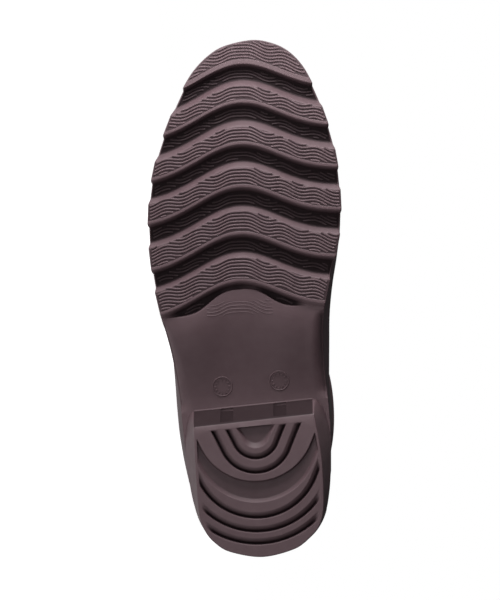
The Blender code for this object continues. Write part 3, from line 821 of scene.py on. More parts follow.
def toe_spring(x):
    """Rise of the tread towards the toe."""
    past = np.clip(x - TOE_SPRING_START, 0, None)
    return TOE_SPRING * (past / (SOLE_TOE[0] - TOE_SPRING_START)) ** 2


def sole_top(x):
    """Height of the upper face of the outsole."""
    rise = smooth((SEAT_RISE_START - x) / (SEAT_RISE_START - SEAT_RISE_END))
    return FOREFOOT_HEIGHT + toe_spring(x) + (SEAT_HEIGHT - FOREFOOT_HEIGHT) * rise


def waist_height(x, y):
    """Height of the arched waist, with its sides rounded off."""
    share = np.clip((x - breast_line(y)) / (waist_line(y) - breast_line(y)), 0, 1)
    arch = WAIST_STEP + (HEEL_HEIGHT - WAIST_STEP) * smooth(1 - share)
    inside = {-1: y + SOLE_INNER.lateral(x), 1: SOLE_INNER.medial(x) - y}
    flanks = [
        inside[side] / (share * row.front + (1 - share) * row.rear) for side, row in WAIST_FLANK.items()
    ]
    rounding = 1 - np.sqrt(1 - np.clip(1 - np.minimum(*flanks), 0, 1) ** 2)
    in_waist = smooth(share / WAIST_FLANK_FADE) * smooth((1 - share) / WAIST_FLANK_FADE)
    return arch + np.minimum(WAIST_FLANK_RISE, sole_top(x) - WAIST_FLANK_ROOM - arch) * rounding * in_waist


print("length and width of the sole in mm:", np.ptp(SOLE.points, axis=0).round(1))

# %% Outsole mesh
TREAD_COLUMNS = np.linspace(0, 1, 89)
SEAT_STATIONS = (22, 42, 58, 67)
WAIST_SHARES = np.linspace(0, 1, 25)
SOLE_END_ROWS = 6
FRONT_EASE = 0.9
FOOT_EASE = 0.7
BEVEL_FOOT = 0.25
# Painted shade in the rubber's colour: BEVEL_SHADE at the foot of each bevel, FIELD_SHADE in the ripple
# fields.
BEVEL_SHADE = 0.3
FIELD_EASE = 0.15
FIELD_DEPTH = 0.35
FIELD_SHADE = 0.6
LUG_FLARE = 0.8
FLARE_START = 112
FLARE_RUN = 24
WALL_FOOT = 1
SEAM_DROP = 3.4
SEAM_HALF = 0.45
SEAM_PROUD = 0.22
TOP_ANGLES = np.radians((0, 45))
GROOVE_EDGE = SOLE.inset(EDGE_ROUND + LUG_FLARE)
# shade: how much painted shade the rubber's colour gets along the line, from 0 to 1.
LineRow = namedtuple("LineRow", "line depth ease shade edge")


def lug_lines(rear, front):
    """Lines over a lug: its rolled rear edge, a smooth margin, then the sunken field of its ripples."""
    field = rear.rear_edge + rear.rear_margin
    yield LineRow(wave_line(rear.rear_edge), 0, rear.rear_ease, 0, SOLE_INNER)
    yield LineRow(wave_line(field), 0, FIELD_EASE, 0, SOLE_INNER)
    # The sunken field between the ripples carries painted shade.
    yield LineRow(wave_line(field + FIELD_DEPTH), FIELD_DEPTH, FIELD_EASE, FIELD_SHADE, SOLE_INNER)
    if front:
        yield LineRow(wave_line(front - FRONT_EASE), FIELD_DEPTH, FRONT_EASE, FIELD_SHADE, SOLE_INNER)
        yield LineRow(wave_line(front), FIELD_DEPTH, FRONT_EASE, 0, SOLE_INNER)


def line_over_waist(share):
    """A line across the waist, at a share of the way from the heel breast to its front edge."""
    return lambda y: breast_line(y) * (1 - share) + waist_line(y) * share


def outsole_lines():
    """The lines across the outsole from heel to toe; seat and waist have no depth of their own."""
    lines = [LineRow(straight_line(x), None, 0, 0, SOLE_INNER) for x in SEAT_STATIONS]
    lines += [LineRow(line_over_waist(share), None, FOOT_EASE, 0, SOLE_INNER) for share in WAIST_SHARES]
    # Groove floors carry full painted shade, and the foot of each bevel part of it.
    lines.append(LineRow(lambda y: waist_line(y) + FIT_GAP, LUG_DEPTH, FOOT_EASE, 1, SOLE_INNER))
    lines.append(LineRow(last_floor_line, LUG_DEPTH, FOOT_EASE, 1, SOLE_INNER))
    rear = LAST_LUG
    for groove in reversed(GROOVES):
        lines += lug_lines(rear, groove.lug_front)
        rear = groove
        low = groove.floor_end + BEVEL_FOOT * (groove.lug_front - groove.floor_end)
        low_depth = LUG_DEPTH + BEVEL_FOOT * (FIELD_DEPTH - LUG_DEPTH)
        lines.append(LineRow(wave_line(low), low_depth, 0, BEVEL_SHADE, GROOVE_EDGE))
        for crest in (groove.floor_end, groove.rear_edge - LUG_REAR_DRAFT):
            lines.append(LineRow(wave_line(crest), LUG_DEPTH, FOOT_EASE, 1, GROOVE_EDGE))
    return lines + list(lug_lines(rear, None))


def tread_row(plan, row):
    """Points of one row of the underside, each with its height and painted shade."""
    x, y = plan.T
    if row.depth is None:
        return np.stack((x, y, waist_height(x, y), 0 * x), axis=1)
    behind_last_lug = (x < last_floor_line(y) + FIT_GAP) & (row.depth > 0)
    # The painted shade of the last groove fades out where the waist closes it.
    shade = row.shade * np.where(behind_last_lug, last_groove_open(y), 1)
    depth = np.where(behind_last_lug, last_floor_height(y, row.depth), row.depth)
    return np.stack((x, y, depth + toe_spring(x), shade), axis=1)


def outsole_loops(border):
    """Loops up the outsole's wall: the lugs flare past it, and a fine seam of the mould runs round it."""
    plan, height = border[:, :2], border[:, 2]
    out, inside = SOLE.beside(plan)
    top = sole_top(plan[:, 0])
    wall = inside - LUG_FLARE * smooth((plan[:, 0] - FLARE_START) / FLARE_RUN)
    ahead_of_heel = smooth((plan[:, 0] - breast_line(plan[:, 1])) / EDGE_ROUND)
    foot = np.maximum(height + EDGE_ROUND, LUG_DEPTH + WALL_FOOT + toe_spring(plan[:, 0]))
    seam = np.maximum(top - SEAM_DROP, foot + 2 * SEAM_HALF)
    steps = []
    for angle in ROUND_ANGLES:
        rise = EDGE_ROUND * (1 - np.cos(angle)) * ahead_of_heel
        steps.append((EDGE_ROUND * np.sin(angle), height + rise))
    steps.append((wall, foot))
    for lift, proud in ((-SEAM_HALF, 0), (0, SEAM_PROUD), (SEAM_HALF, 0)):
        steps.append((wall + proud, seam + lift))
    for angle in TOP_ANGLES:
        steps.append((wall - EDGE_ROUND * (1 - np.cos(angle)), top - EDGE_ROUND * (1 - np.sin(angle))))
    loops = []
    for away, level in steps:
        loops.append(with_height(plan + out * np.broadcast_to(away, len(plan))[:, None], level))
    return loops


def make_outsole():
    """The outsole as one closed mesh."""
    lines = outsole_lines()
    crossings = [row_across(row.edge, row.line, TREAD_COLUMNS) for row in lines]
    plan = with_ends(SOLE_INNER, crossings, TREAD_COLUMNS, SOLE_END_ROWS)
    lines = lines[:1] * SOLE_END_ROWS + lines + lines[-1:] * SOLE_END_ROWS
    rows = np.array([tread_row(part, row) for part, row in zip(plan, lines)])
    bottom = ease_rows(rows, [row.ease for row in lines])
    top = with_height(bottom[..., :2], sole_top(bottom[..., 0]))
    return closed_body("rubber_outsole", bottom, outsole_loops(border_points(bottom)), top, "tread_rubber")


outsole = make_outsole()
hand_over(outsole, "outsole_rubber", "outsole")

# %% [markdown]
# ## Beads on the tread
# Fine ripples cover the lugs and the groove floors, and a bead runs along the heel breast. They are rubber
# beads that follow paths on the surface, so one Geometry Nodes tree makes them all: it turns a path into a
# curve and sweeps a round bead along it. A displacement texture would need a far finer mesh.

# %% Bead tree
def bead_tree():
    """Geometry Nodes: a round bead swept along every path of the mesh."""
    tree = bpy.data.node_groups.new("bead_along_path", "GeometryNodeTree")
    for title, way, kind in (
        ("Geometry", "INPUT", "NodeSocketGeometry"),
        ("Bead radius", "INPUT", "NodeSocketFloat"),
        ("Bead sides", "INPUT", "NodeSocketInt"),
        ("Rubber", "INPUT", "NodeSocketMaterial"),
        ("Geometry", "OUTPUT", "NodeSocketGeometry"),
    ):
        tree.interface.new_socket(title, in_out=way, socket_type=kind)
    given, made = tree.nodes.new("NodeGroupInput"), tree.nodes.new("NodeGroupOutput")
    path = tree.nodes.new("GeometryNodeMeshToCurve")
    profile = tree.nodes.new("GeometryNodeCurvePrimitiveCircle")
    sweep = tree.nodes.new("GeometryNodeCurveToMesh")
    shade = tree.nodes.new("GeometryNodeSetShadeSmooth")
    realize = tree.nodes.new("GeometryNodeRealizeInstances")
    paint = tree.nodes.new("GeometryNodeSetMaterial")
    sweep.inputs["Fill Caps"].default_value = True
    tree.links.new(given.outputs["Geometry"], path.inputs["Mesh"])
    tree.links.new(given.outputs["Bead radius"], profile.inputs["Radius"])
    tree.links.new(given.outputs["Bead sides"], profile.inputs["Resolution"])
    tree.links.new(path.outputs["Curve"], sweep.inputs["Curve"])
    tree.links.new(profile.outputs["Curve"], sweep.inputs["Profile Curve"])
    tree.links.new(sweep.outputs["Mesh"], shade.inputs["Geometry"])
    tree.links.new(shade.outputs["Geometry"], realize.inputs["Geometry"])
    tree.links.new(realize.outputs["Geometry"], paint.inputs["Geometry"])
    tree.links.new(given.outputs["Rubber"], paint.inputs["Material"])
    tree.links.new(paint.outputs["Geometry"], made.inputs["Geometry"])
    return tree


BEAD_TREE = bead_tree()


def set_inputs(modifier, values):
    """Set a modifier's inputs by the identifiers of their sockets."""
    for socket in modifier.node_group.interface.items_tree:
        if socket.in_out == "INPUT" and socket.name in values:
            modifier[socket.identifier] = values[socket.name]


def bead_piece(name, paths, radius, sides, material):
    """Beads along paths of boot points, as a plain mesh."""
    data = bpy.data.meshes.new(name + "_paths")
    edges = []
    start = 0
    for path in paths:
        numbers = range(start, start + len(path))
        edges += zip(numbers, numbers[1:])
        start += len(path)
    data.from_pydata(lay(np.vstack(paths)).tolist(), edges, [])
    guide = bpy.data.objects.new(name + "_paths", data)
    bpy.context.scene.collection.objects.link(guide)
    sweep = guide.modifiers.new("beads", "NODES")
    sweep.node_group = BEAD_TREE
    set_inputs(sweep, {"Bead radius": radius * MM, "Bead sides": sides, "Rubber": MATERIALS[material]})
    bpy.context.view_layer.update()
    evaluated = guide.evaluated_get(bpy.context.evaluated_depsgraph_get())
    piece = bpy.data.objects.new(name, bpy.data.meshes.new_from_object(evaluated))
    guide.modifiers.remove(sweep)
    bpy.data.objects.remove(guide)
    bpy.context.scene.collection.objects.link(piece)
    return piece


# %% [markdown]
# ## Ripples
# The ripples lie 1.7 mm apart. To both sides of the crest they fall back in small waves, less steeply than
# the lug's large wave, so the lines run out at the front of a lug. They stop short of its rear margin.

# %% Ripples on lugs and groove floors
RIPPLE_PITCH = 1.68
RIPPLE_STEP_LENGTH = 17
RIPPLE_SWING_START = 0.6
RippleRow = namedtuple("RippleRow", "drop swing")
RIPPLE_SIDES = {-1: RippleRow(2.8, 2.0), 1: RippleRow(4.7, 1.3)}
RIPPLE_RADIUS = 0.56
RIPPLE_PROUD = 0.1
RIPPLE_SUNK = 0.12
RIPPLE_STEP = 0.9
RIPPLE_SHORTEST = 4
RIPPLE_BEAD_SIDES = 6
RIPPLE_Y = np.arange(-FURTHEST_ASIDE, FURTHEST_ASIDE, RIPPLE_STEP)
FURTHEST_CREST = SOLE_TOE[0] + WAVE_DROP[-1]
LUG_FRONT_MARGIN = -0.4
FIELD_MARGIN = 0.45
FLOOR_MARGIN = 1.0
LUG_EDGE_MARGIN = 0.8
FLOOR_EDGE_MARGIN = 2
BandRow = namedtuple("BandRow", "rear front height edge")


def lug_bands():
    """The bands of the wave on the lug tops that carry ripples."""
    fronts = [FURTHEST_CREST] + [groove.lug_front for groove in GROOVES]
    edge = SOLE.inset(LUG_EDGE_MARGIN)
    for front, rear in zip(fronts, GROOVES + [LAST_LUG]):
        start = rear.rear_edge + rear.rear_margin + FIELD_MARGIN
        yield BandRow(start, front - LUG_FRONT_MARGIN, RIPPLE_RADIUS - RIPPLE_PROUD, edge)


def floor_bands():
    """The bands of the wave on the groove floors that carry ripples."""
    edge = SOLE.inset(FLOOR_EDGE_MARGIN)
    for groove in GROOVES:
        end = groove.rear_edge - LUG_REAR_DRAFT - FLOOR_MARGIN
        yield BandRow(groove.floor_end + FLOOR_MARGIN, end, LUG_DEPTH + RIPPLE_SUNK, edge)


def runs(keep):
    """Stretches of neighbouring places that are kept, as slices."""
    edges = np.flatnonzero(np.diff(np.concatenate(([0], keep.astype(int), [0]))))
    stretches = [slice(start, end) for start, end in zip(edges[::2], edges[1::2])]
    return [run for run in stretches if run.stop - run.start >= RIPPLE_SHORTEST]


def ripple_line(start, y):
    """Place along the foot of one ripple line, which falls back in waves to either side of the crest."""
    aside = aside_of(y, start)
    steps = np.abs(aside) / RIPPLE_STEP_LENGTH
    falls = []
    for row in (RIPPLE_SIDES[-1], RIPPLE_SIDES[1]):
        swing = 1 + (row.swing - 1) * smooth(steps / RIPPLE_SWING_START)
        falls.append(row.drop * (steps - swing * np.sin(2 * np.pi * steps) / (2 * np.pi)))
    return start - np.where(aside < 0, *falls)


def ripple_paths(bands):
    """Paths of the ripples on some bands of the forefoot."""
    y = RIPPLE_Y
    paths = []
    for band in bands:
        for start in np.arange(WAIST_FRONT_X, FURTHEST_CREST, RIPPLE_PITCH):
            x = ripple_line(start, y)
            crest = x + wave_drop(y, x + wave_drop(y, x))
            on_sole = (y > -band.edge.lateral(x)) & (y < band.edge.medial(x))
            for run in runs(on_sole & (crest > band.rear) & (crest < band.front)):
                paths.append(np.stack((x[run], y[run], band.height + toe_spring(x[run])), axis=1))
    return paths


def last_floor_paths():
    """Paths of the ripples on the floor of the last groove."""
    y = RIPPLE_Y
    height = last_floor_height(y, LUG_DEPTH) + RIPPLE_SUNK
    paths = []
    for start in np.arange(WAIST_FRONT_X, LAST_LUG.rear_edge, RIPPLE_PITCH):
        x = ripple_line(start, y)
        for run in runs((x > waist_line(y) + FLOOR_MARGIN) & (x < last_floor_line(y) - FLOOR_MARGIN)):
            paths.append(np.stack((x[run], y[run], height[run]), axis=1))
    return paths


# The floor ripples use the tread rubber with painted shade, as the groove floors lie in shade.
for ripple_name, path_list, ripple_rubber in (
    ("lug_ripples", ripple_paths(lug_bands()), "tread_rubber"),
    ("groove_ripples", ripple_paths(floor_bands()) + last_floor_paths(), "groove_painted_shade_rubber"),
):
    ripples = bead_piece(ripple_name, path_list, RIPPLE_RADIUS, RIPPLE_BEAD_SIDES, ripple_rubber)
    hand_over(ripples, "outsole_rubber")

# %% Faint ripples and mould marks on the waist
DomeRow = namedtuple("DomeRow", "rear front lateral medial")
DOME_BAND = DomeRow(124, 131.5, -21, 13)
DOME_SUNK = 0.26
DOME_RADIUS = 0.4
RingRow = namedtuple("RingRow", "x y")
MOULD_RINGS = table(RingRow, ((87.8, -15.4), (89.6, 13.9)))
RING_RADIUS = 4.9
RING_BEAD = 0.42
RING_BEAD_SIDES = 8
RING_SUNK = 0.1
RING_STEPS = 49
TICK_COUNT = 12
TICK_SPAN = (3.1, 4.0)
TICK_STEPS = 4
BREAST_BEAD = 0.6
BREAST_BEAD_SIDES = 10
BREAST_BEAD_SUNK = 0.1
BREAST_BEAD_REACH = 30.5
BREAST_BEAD_STEPS = 60


def on_waist(x, y, sunk):
    """Points just under the skin of the waist."""
    return np.stack((x, y, waist_height(x, y) + sunk), axis=1)


def dome_paths():
    """Short faint ripples on the dome of the waist."""
    y = np.arange(DOME_BAND.lateral, DOME_BAND.medial, RIPPLE_STEP)
    paths = []
    for start in np.arange(DOME_BAND.rear, DOME_BAND.front + WAVE_DROP[-1], RIPPLE_PITCH):
        x = ripple_line(start, y)
        front = np.minimum(DOME_BAND.front, waist_line(y) - FLOOR_MARGIN)
        for run in runs((x > DOME_BAND.rear) & (x < front)):
            paths.append(on_waist(x[run], y[run], DOME_SUNK))
    return paths


def ring_paths():
    """Two round mould marks, each a ring with ticks like a clock without hands."""
    tick = np.linspace(*TICK_SPAN, TICK_STEPS)
    marks = [(RING_RADIUS, np.linspace(0, 2 * np.pi, RING_STEPS))]
    marks += [(tick, angle) for angle in np.arange(TICK_COUNT) * 2 * np.pi / TICK_COUNT]
    paths = []
    for ring in MOULD_RINGS:
        for reach, angle in marks:
            x = ring.x + reach * np.cos(angle)
            y = ring.y + reach * np.sin(angle)
            paths.append(on_waist(x, y, RING_SUNK))
    return paths


def breast_path():
    """The bead where the waist turns down into the heel breast."""
    y = np.linspace(-BREAST_BEAD_REACH, BREAST_BEAD_REACH, BREAST_BEAD_STEPS)
    return [on_waist(breast_line(y), y, BREAST_BEAD_SUNK)]


for bead_name, bead_paths, bead_radius, bead_sides in (
    ("dome_ripples", dome_paths(), DOME_RADIUS, RIPPLE_BEAD_SIDES),
    ("mould_marks", ring_paths(), RING_BEAD, RING_BEAD_SIDES),
    ("breast_bead", breast_path(), BREAST_BEAD, BREAST_BEAD_SIDES),
):
    hand_over(bead_piece(bead_name, bead_paths, bead_radius, bead_sides, "tread_rubber"), "outsole_rubber")

# %% [markdown]
# ## The heel
# The heel block tapers from the seat down to its tread pad. Arcs round one centre line make the ribs,
# grooves, half moon and smooth crescent of the pad, so its rows of points are arcs and not straight lines.
# A groove rolls in from its inner side and ends in a steep outer one. The corners of the breast, the face
# towards the waist, are drawn in to the width of the pad, and two shallow pockets are cut in it. Grooves,
# half moon floor, smooth crescent, breast and pockets get painted shade in the rubber's colour.

# %% Heel sizes
HEEL_PAD_BACK = (0.8, 1.5)
HEEL_PAD_EDGE = table(
    EdgeRow,
    (
        (4, 14.6, 17.6),
        (9, 22.3, 25.3),
        (15, 26.9, 30.9),
        (23, 29.5, 33.5),
        (36, 30.1, 34.1),
        (50, 30.3, 33.8),
        (64, 30.3, 32.2),
        (74, 30.3, 30.4),
    ),
)
HEEL_RIM = 1
LIP_REAR_X = 67.5
LIP_REAR_SLANT = 0.05
LIP_FRONT_X = 70.4
LIP_FRONT_SLANT = 0.067
HEEL_GROOVE_DEPTH = 2.2
ProfileRow = namedtuple("ProfileRow", "away share")
HEEL_GROOVE_PROFILE = table(ProfileRow, ((-2.3, 0), (-0.9, 0.42), (0.05, 1), (0.55, 1), (0.95, 0)))
HEEL_RECESS_DEPTH = 2
# Painted shade on the smooth crescent, which lies lower than the ribs round it.
CRESCENT_SHADE = 0.34
LIP_RISE = 0.9
SEAT_CORNER = 24
ARC_CENTRE_Y = 0.8
ARC_STEPS = 80
ARC_STRAIGHT = 40
FLOOR_TURN = np.radians(58)
MOON_TURN = np.radians(62)
ARC_TURN = np.radians(66)
# shade: the painted shade along an arc, which fades out with its depth at the ends.
ArcRow = namedtuple("ArcRow", "centre radius turn depth end_gap end_run shade")
HALF_MOON_FLOOR = ArcRow(64.7, 5.8, FLOOR_TURN, HEEL_RECESS_DEPTH, 0, 1.1, 0.3)
HALF_MOON_TOP = ArcRow(63.2, 7.0, MOON_TURN, 0, 0, 1.1, 0)
HALF_MOON_CHORD = 0.94
HALF_MOON_STEP = 0.4
HALF_MOON_STEP_MOST = 0.5
INNER_GROOVES = (
    ArcRow(62.8, 11.6, ARC_TURN, HEEL_GROOVE_DEPTH, 0.3, 1.1, 1),
    ArcRow(62.2, 18.3, ARC_TURN, HEEL_GROOVE_DEPTH, 0.3, 1.1, 1),
)
CORNER_RIB = ArcRow(70, 30.4, ARC_TURN, 0, 0, 1.1, 0)
CRESCENT_INNER = ArcRow(70, 31.2, ARC_TURN, HEEL_RECESS_DEPTH, 0.2, 1.1, CRESCENT_SHADE)
CRESCENT_OUTER = ArcRow(60.6, 30.4, ARC_TURN, HEEL_RECESS_DEPTH, 0.2, 1.1, CRESCENT_SHADE)
BACK_RIB = ArcRow(60.6, 31.9, ARC_TURN, 0, 0, 1.1, 0)
OUTER_GROOVES = (
    ArcRow(53.3, 32.2, ARC_TURN, HEEL_GROOVE_DEPTH, 0.3, 2.5, 1),
    ArcRow(52.6, 38.5, ARC_TURN, HEEL_GROOVE_DEPTH, 1.0, 5, 1),
    ArcRow(51.6, 43.7, ARC_TURN, HEEL_GROOVE_DEPTH, 1.0, 5, 1),
)
HEEL_PAD = edge_outline(HEEL_PAD_EDGE, HEEL_PAD_BACK)
HEEL_INNER = HEEL_PAD.inset(HEEL_RIM)


def lip_rear(y):
    """Rear edge of the heel's front lip."""
    return LIP_REAR_X + LIP_REAR_SLANT * y


def lip_front(y):
    """Front edge of the heel's front lip."""
    return LIP_FRONT_X + LIP_FRONT_SLANT * y


def on_pad(x, y):
    """Whether a point lies on the heel pad, behind the lip."""
    return HEEL_INNER.back < x < lip_rear(y) and -HEEL_INNER.lateral(x) < y < HEEL_INNER.medial(x)


def groove_arcs(groove):
    """The arcs of a groove: its rolled inner side, its floor, its steep outer side; painted shade grows
    with depth.
    """
    for row in HEEL_GROOVE_PROFILE:
        radius = groove.radius + row.away
        yield groove._replace(radius=radius, depth=groove.depth * row.share, shade=row.share)


def heel_arcs():
    """Arcs of the heel tread from its middle outwards."""
    arcs = [HALF_MOON_FLOOR, HALF_MOON_TOP]
    for groove in INNER_GROOVES:
        arcs += groove_arcs(groove)
    arcs += [CORNER_RIB, CRESCENT_INNER, CRESCENT_OUTER, BACK_RIB]
    for groove in OUTER_GROOVES:
        arcs += groove_arcs(groove)
    return arcs


print("heel tread has", len(heel_arcs()), "arcs")

# %% Heel mesh
HEEL_COLUMNS = (1 - np.cos(np.linspace(0, np.pi, 73))) / 2
HEEL_EASE = 0.42
HEEL_EDGE_EASE = 0.7
CARRY_ROUNDS = 8
CORNER_ROWS = (0.2, 0.4, 0.55, 0.7, 0.8, 0.9)
FLANK_ROWS = (0.25, 0.5, 0.75)
POCKET_Y = 13.6
POCKET_WIDTH = 6.5
POCKET_DEPTH = 1.4
POCKET_SILL = 2.5
# Painted shade on the heel breast and, a little darker, on the pocket floors.
BREAST_SHADE = 0.8
POCKET_SHADE = 0.88


def arc_side(arc, side):
    """One half of a heel arc: round as far as its turn, then straight on until it leaves the pad."""
    angle = np.linspace(0, arc.turn, ARC_STEPS)
    bend = np.stack((arc.centre - arc.radius * np.cos(angle), side * arc.radius * np.sin(angle)), axis=1)
    ahead = np.array((np.sin(arc.turn), side * np.cos(arc.turn)))
    straight = bend[-1] + np.linspace(0, ARC_STRAIGHT, ARC_STEPS)[1:, None] * ahead
    path = np.vstack((bend, straight)) + (0, ARC_CENTRE_Y)
    last = next(number for number, point in enumerate(path) if not on_pad(*point)) - 1
    within, beyond = 0.0, 1.0
    step = path[last + 1] - path[last]
    for _ in range(HALVINGS):
        middle = (within + beyond) / 2
        if on_pad(*(path[last] + middle * step)):
            within = middle
        else:
            beyond = middle
    return np.vstack((path[: last + 1], path[last] + within * step))


def arc_points(arc):
    """Points of an arc, between the places where it leaves the pad on its lateral and medial sides."""
    return spaced_points(np.vstack((arc_side(arc, -1)[:0:-1], arc_side(arc, 1))), HEEL_COLUMNS)


def end_fade(row, gap, end_run):
    """0 at both ends of a row and 1 along the rest of it."""
    run = lengths(row)
    return smooth((np.minimum(run, run[-1] - run) - gap) / end_run)


def carry(plan, front, target, target_front, corner=LEAST_WIDTH):
    """Carry plan points of the heel pad to another outline that narrows to the pad's width at its front."""
    x, y = plan[..., 0], plan[..., 1]
    edge = np.where(y < 0, HEEL_INNER.lateral(x), HEEL_INNER.medial(x))
    aside = np.clip(y / np.maximum(edge, LEAST_WIDTH), -1, 1)
    along = (x - HEEL_INNER.back) / (front(y) - HEEL_INNER.back)
    narrow = np.where(aside < 0, HEEL_PAD.lateral(LIP_FRONT_X), HEEL_PAD.medial(LIP_FRONT_X))
    moved_y = y
    for _ in range(CARRY_ROUNDS):
        moved_x = target.back + along * (target_front(moved_y) - target.back)
        wide = np.where(aside < 0, target.lateral(moved_x), target.medial(moved_x))
        past = np.clip(1 - (target_front(moved_y) - moved_x) / corner, 0, 1)
        moved_y = aside * (wide - (wide - narrow) * (1 - np.sqrt(1 - past**2)))
    return np.stack((moved_x, moved_y), axis=-1)


def arc_row(plan, arc):
    """Points of an arc with their heights and painted shades, which fade out at its ends."""
    fade = end_fade(plan, arc.end_gap, arc.end_run)
    return with_height(with_height(plan, arc.depth * fade), arc.shade * fade)


def rows_between(first, second, shares):
    """Rows at shares of the way from one row to the next."""
    return [first + (second - first) * share for share in shares]


def heel_rows():
    """Rows of the pad from the lip to the back of the heel."""
    arcs = heel_arcs()
    plans = [arc_points(arc) for arc in arcs]
    corner = arcs.index(CORNER_RIB)
    for end, side in ((0, -HEEL_INNER.lateral(LIP_REAR_X)), (-1, HEEL_INNER.medial(LIP_REAR_X))):
        plans[corner][end] = lip_rear(side), side
    rows = [arc_row(plan, arc) for plan, arc in zip(plans, arcs)]
    around = [rows_between(rows[corner - 1], rows[corner], CORNER_ROWS), rows[corner : corner + 1]]
    around.append(rows_between(rows[corner], rows[corner + 1], FLANK_ROWS))
    rows[corner : corner + 1] = sum(around, [])
    chord = plans[0][0, 1] + (plans[0][-1, 1] - plans[0][0, 1]) * HEEL_COLUMNS
    front = np.stack((lip_rear(chord), chord * HALF_MOON_CHORD), axis=1)
    room = np.maximum(front[:, 0] - plans[0][:, 0], LEAST_WIDTH)
    step = np.minimum(HALF_MOON_STEP / room, HALF_MOON_STEP_MOST)
    behind = front + (plans[0] - front) * step[:, None]
    back = HEEL_INNER.stretch(plans[-1][0], plans[-1][-1], HEEL_COLUMNS, past_toe=False)
    flat_rows = [with_height(with_height(plan, 0), 0) for plan in (front, back)]
    return np.array(flat_rows[:1] + [arc_row(behind, HALF_MOON_FLOOR)] + rows + flat_rows[1:])


def make_heel():
    """The heel block as one closed mesh."""
    pad = ease_rows(heel_rows(), HEEL_EASE)
    border = border_points(pad)[:, :3]
    rim = carry(border[:, :2], lip_rear, HEEL_PAD, lip_front)
    on_lip = (rim[:, 0] - lip_rear(rim[:, 1])) / (lip_front(rim[:, 1]) - lip_rear(rim[:, 1]))
    seat = with_height(carry(border[:, :2], lip_rear, SOLE, breast_line, SEAT_CORNER), HEEL_HEIGHT)
    sides = np.array((border, with_height(rim, LIP_RISE * smooth(on_lip)), seat))
    top = with_height(carry(pad[..., :2], lip_rear, SOLE, breast_line, SEAT_CORNER), HEEL_HEIGHT)
    return closed_body("rubber_heel", pad, ease_rows(sides, HEEL_EDGE_EASE)[1:-1], top, "heel_rubber")


def cut_pockets(heel):
    """Cut two pockets in the heel breast as a plain mesh; paint shade on the breast and the pocket floors.
    """
    run = BREAST_TOP_X - LIP_FRONT_X
    height = np.hypot(run, HEEL_HEIGHT)
    cutters = []
    for side in (-1, 1):
        y = side * POCKET_Y
        foot = Matrix.Translation((lip_front(y), y, 0))
        lean = Matrix.Rotation(np.arctan2(run, HEEL_HEIGHT), 4, "Y")
        place = foot @ lean @ Matrix.Translation((0, 0, POCKET_SILL + height / 2))
        mesh = bmesh.new()
        bmesh.ops.create_cube(mesh, size=1)
        size = Matrix.Diagonal((2 * POCKET_DEPTH, POCKET_WIDTH, height, 1))
        bmesh.ops.transform(mesh, matrix=LAID @ place @ size, verts=mesh.verts)
        data = bpy.data.meshes.new("pocket")
        mesh.to_mesh(data)
        mesh.free()
        cutters.append(bpy.data.objects.new("pocket", data))
        bpy.context.scene.collection.objects.link(cutters[-1])
        cut = heel.modifiers.new("pocket", "BOOLEAN")
        cut.object = cutters[-1]
    bpy.context.view_layer.update()
    evaluated = heel.evaluated_get(bpy.context.evaluated_depsgraph_get())
    heel.data = bpy.data.meshes.new_from_object(evaluated)
    heel.modifiers.clear()
    for cutter in cutters:
        bpy.data.objects.remove(cutter)
    points = unlay([vertex.co for vertex in heel.data.vertices])
    x, y, z = points.T
    behind_breast = lip_front(y) + run * z / HEEL_HEIGHT - x
    shades = heel.data.attributes["painted_shade"].data
    on_breast = (z > LIP_RISE) & (np.abs(y) < BREAST_BEAD_REACH) & (behind_breast < POCKET_DEPTH / 2)
    in_pocket = (z > 2 * LIP_RISE) & (np.abs(np.abs(y) - POCKET_Y) < POCKET_WIDTH / 2 + LEAST_WIDTH)
    in_pocket &= (behind_breast > POCKET_DEPTH / 2) & (behind_breast < 2 * POCKET_DEPTH)
    # Paint shade on the breast face and on the pocket floors.
    for marked, shade in ((on_breast, BREAST_SHADE), (in_pocket, POCKET_SHADE)):
        for number in np.flatnonzero(marked):
            shades[number].value = shade


heel = make_heel()
cut_pockets(heel)
hand_over(heel, "heel_rubber", "heel")

# %% [markdown]
# ## The upper
# Foot and shaft are one moulded wall. Rings of points, each worked out from a short table of sections,
# follow the sole's outline at the foot and an oval at the collar. The soft creases of the ankle are placed
# one by one, as shallow troughs with a low ridge on either side, before the wall gets its thickness.

# %% Upper sizes
UpperRow = namedtuple("UpperRow", "height back front nose lateral medial")
UPPER_SECTIONS = table(
    UpperRow,
    (
        (0, 1.0, 263.2, 40, 42, 38),
        (7, 0.5, 263.2, 40, 42, 38),
        (15, 0.4, 261.4, 44, 42, 38),
        (22, 0.6, 257, 54, 42, 38),
        (29, 1.0, 249, 70, 42, 38),
        (36, 1.7, 236, 90, 42, 38),
        (43, 2.8, 219.5, 102, 42, 38),
        (52, 4.6, 199, 108, 42, 38),
        (64, 7.2, 177, 106, 41.8, 37.6),
        (78, 9.7, 157, 96, 41.4, 37.2),
        (94, 11.2, 141, 80, 41, 37),
        (112, 11.4, 131.5, 68, 41, 37),
        (134, 9.8, 127, 62, 42, 37.4),
        (165, 6.6, 126, 60, 43.6, 38.6),
        (200, 3.4, 127, 62, 45.6, 39.8),
        (234, 1.0, 128.5, 64, 47, 40.6),
    ),
)
WALL = 2.4
UPPER_STEP = 0.9
SHAFT_BLEND_START = 18
SHAFT_BLEND_END = 108
LEVEL_HEIGHT = 75
LEVEL_BASE = 14
SHAFT_ROUNDNESS = 2.15
SwellRow = namedtuple("SwellRow", "size x reach")
MEDIAL_SWELL = SwellRow(4.2, 112, 36)
LATERAL_SWELL = SwellRow(4.2, 68, 40)
SWELL_HEIGHT = 16
TOE_CAP_LOW = 16
TOE_CAP_HIGH = 44
TOE_CAP_X = 150
UPRIGHT_STRIP = 4
COLLAR_BAND_START = 225
COLLAR_BAND_PROUD = 0.9
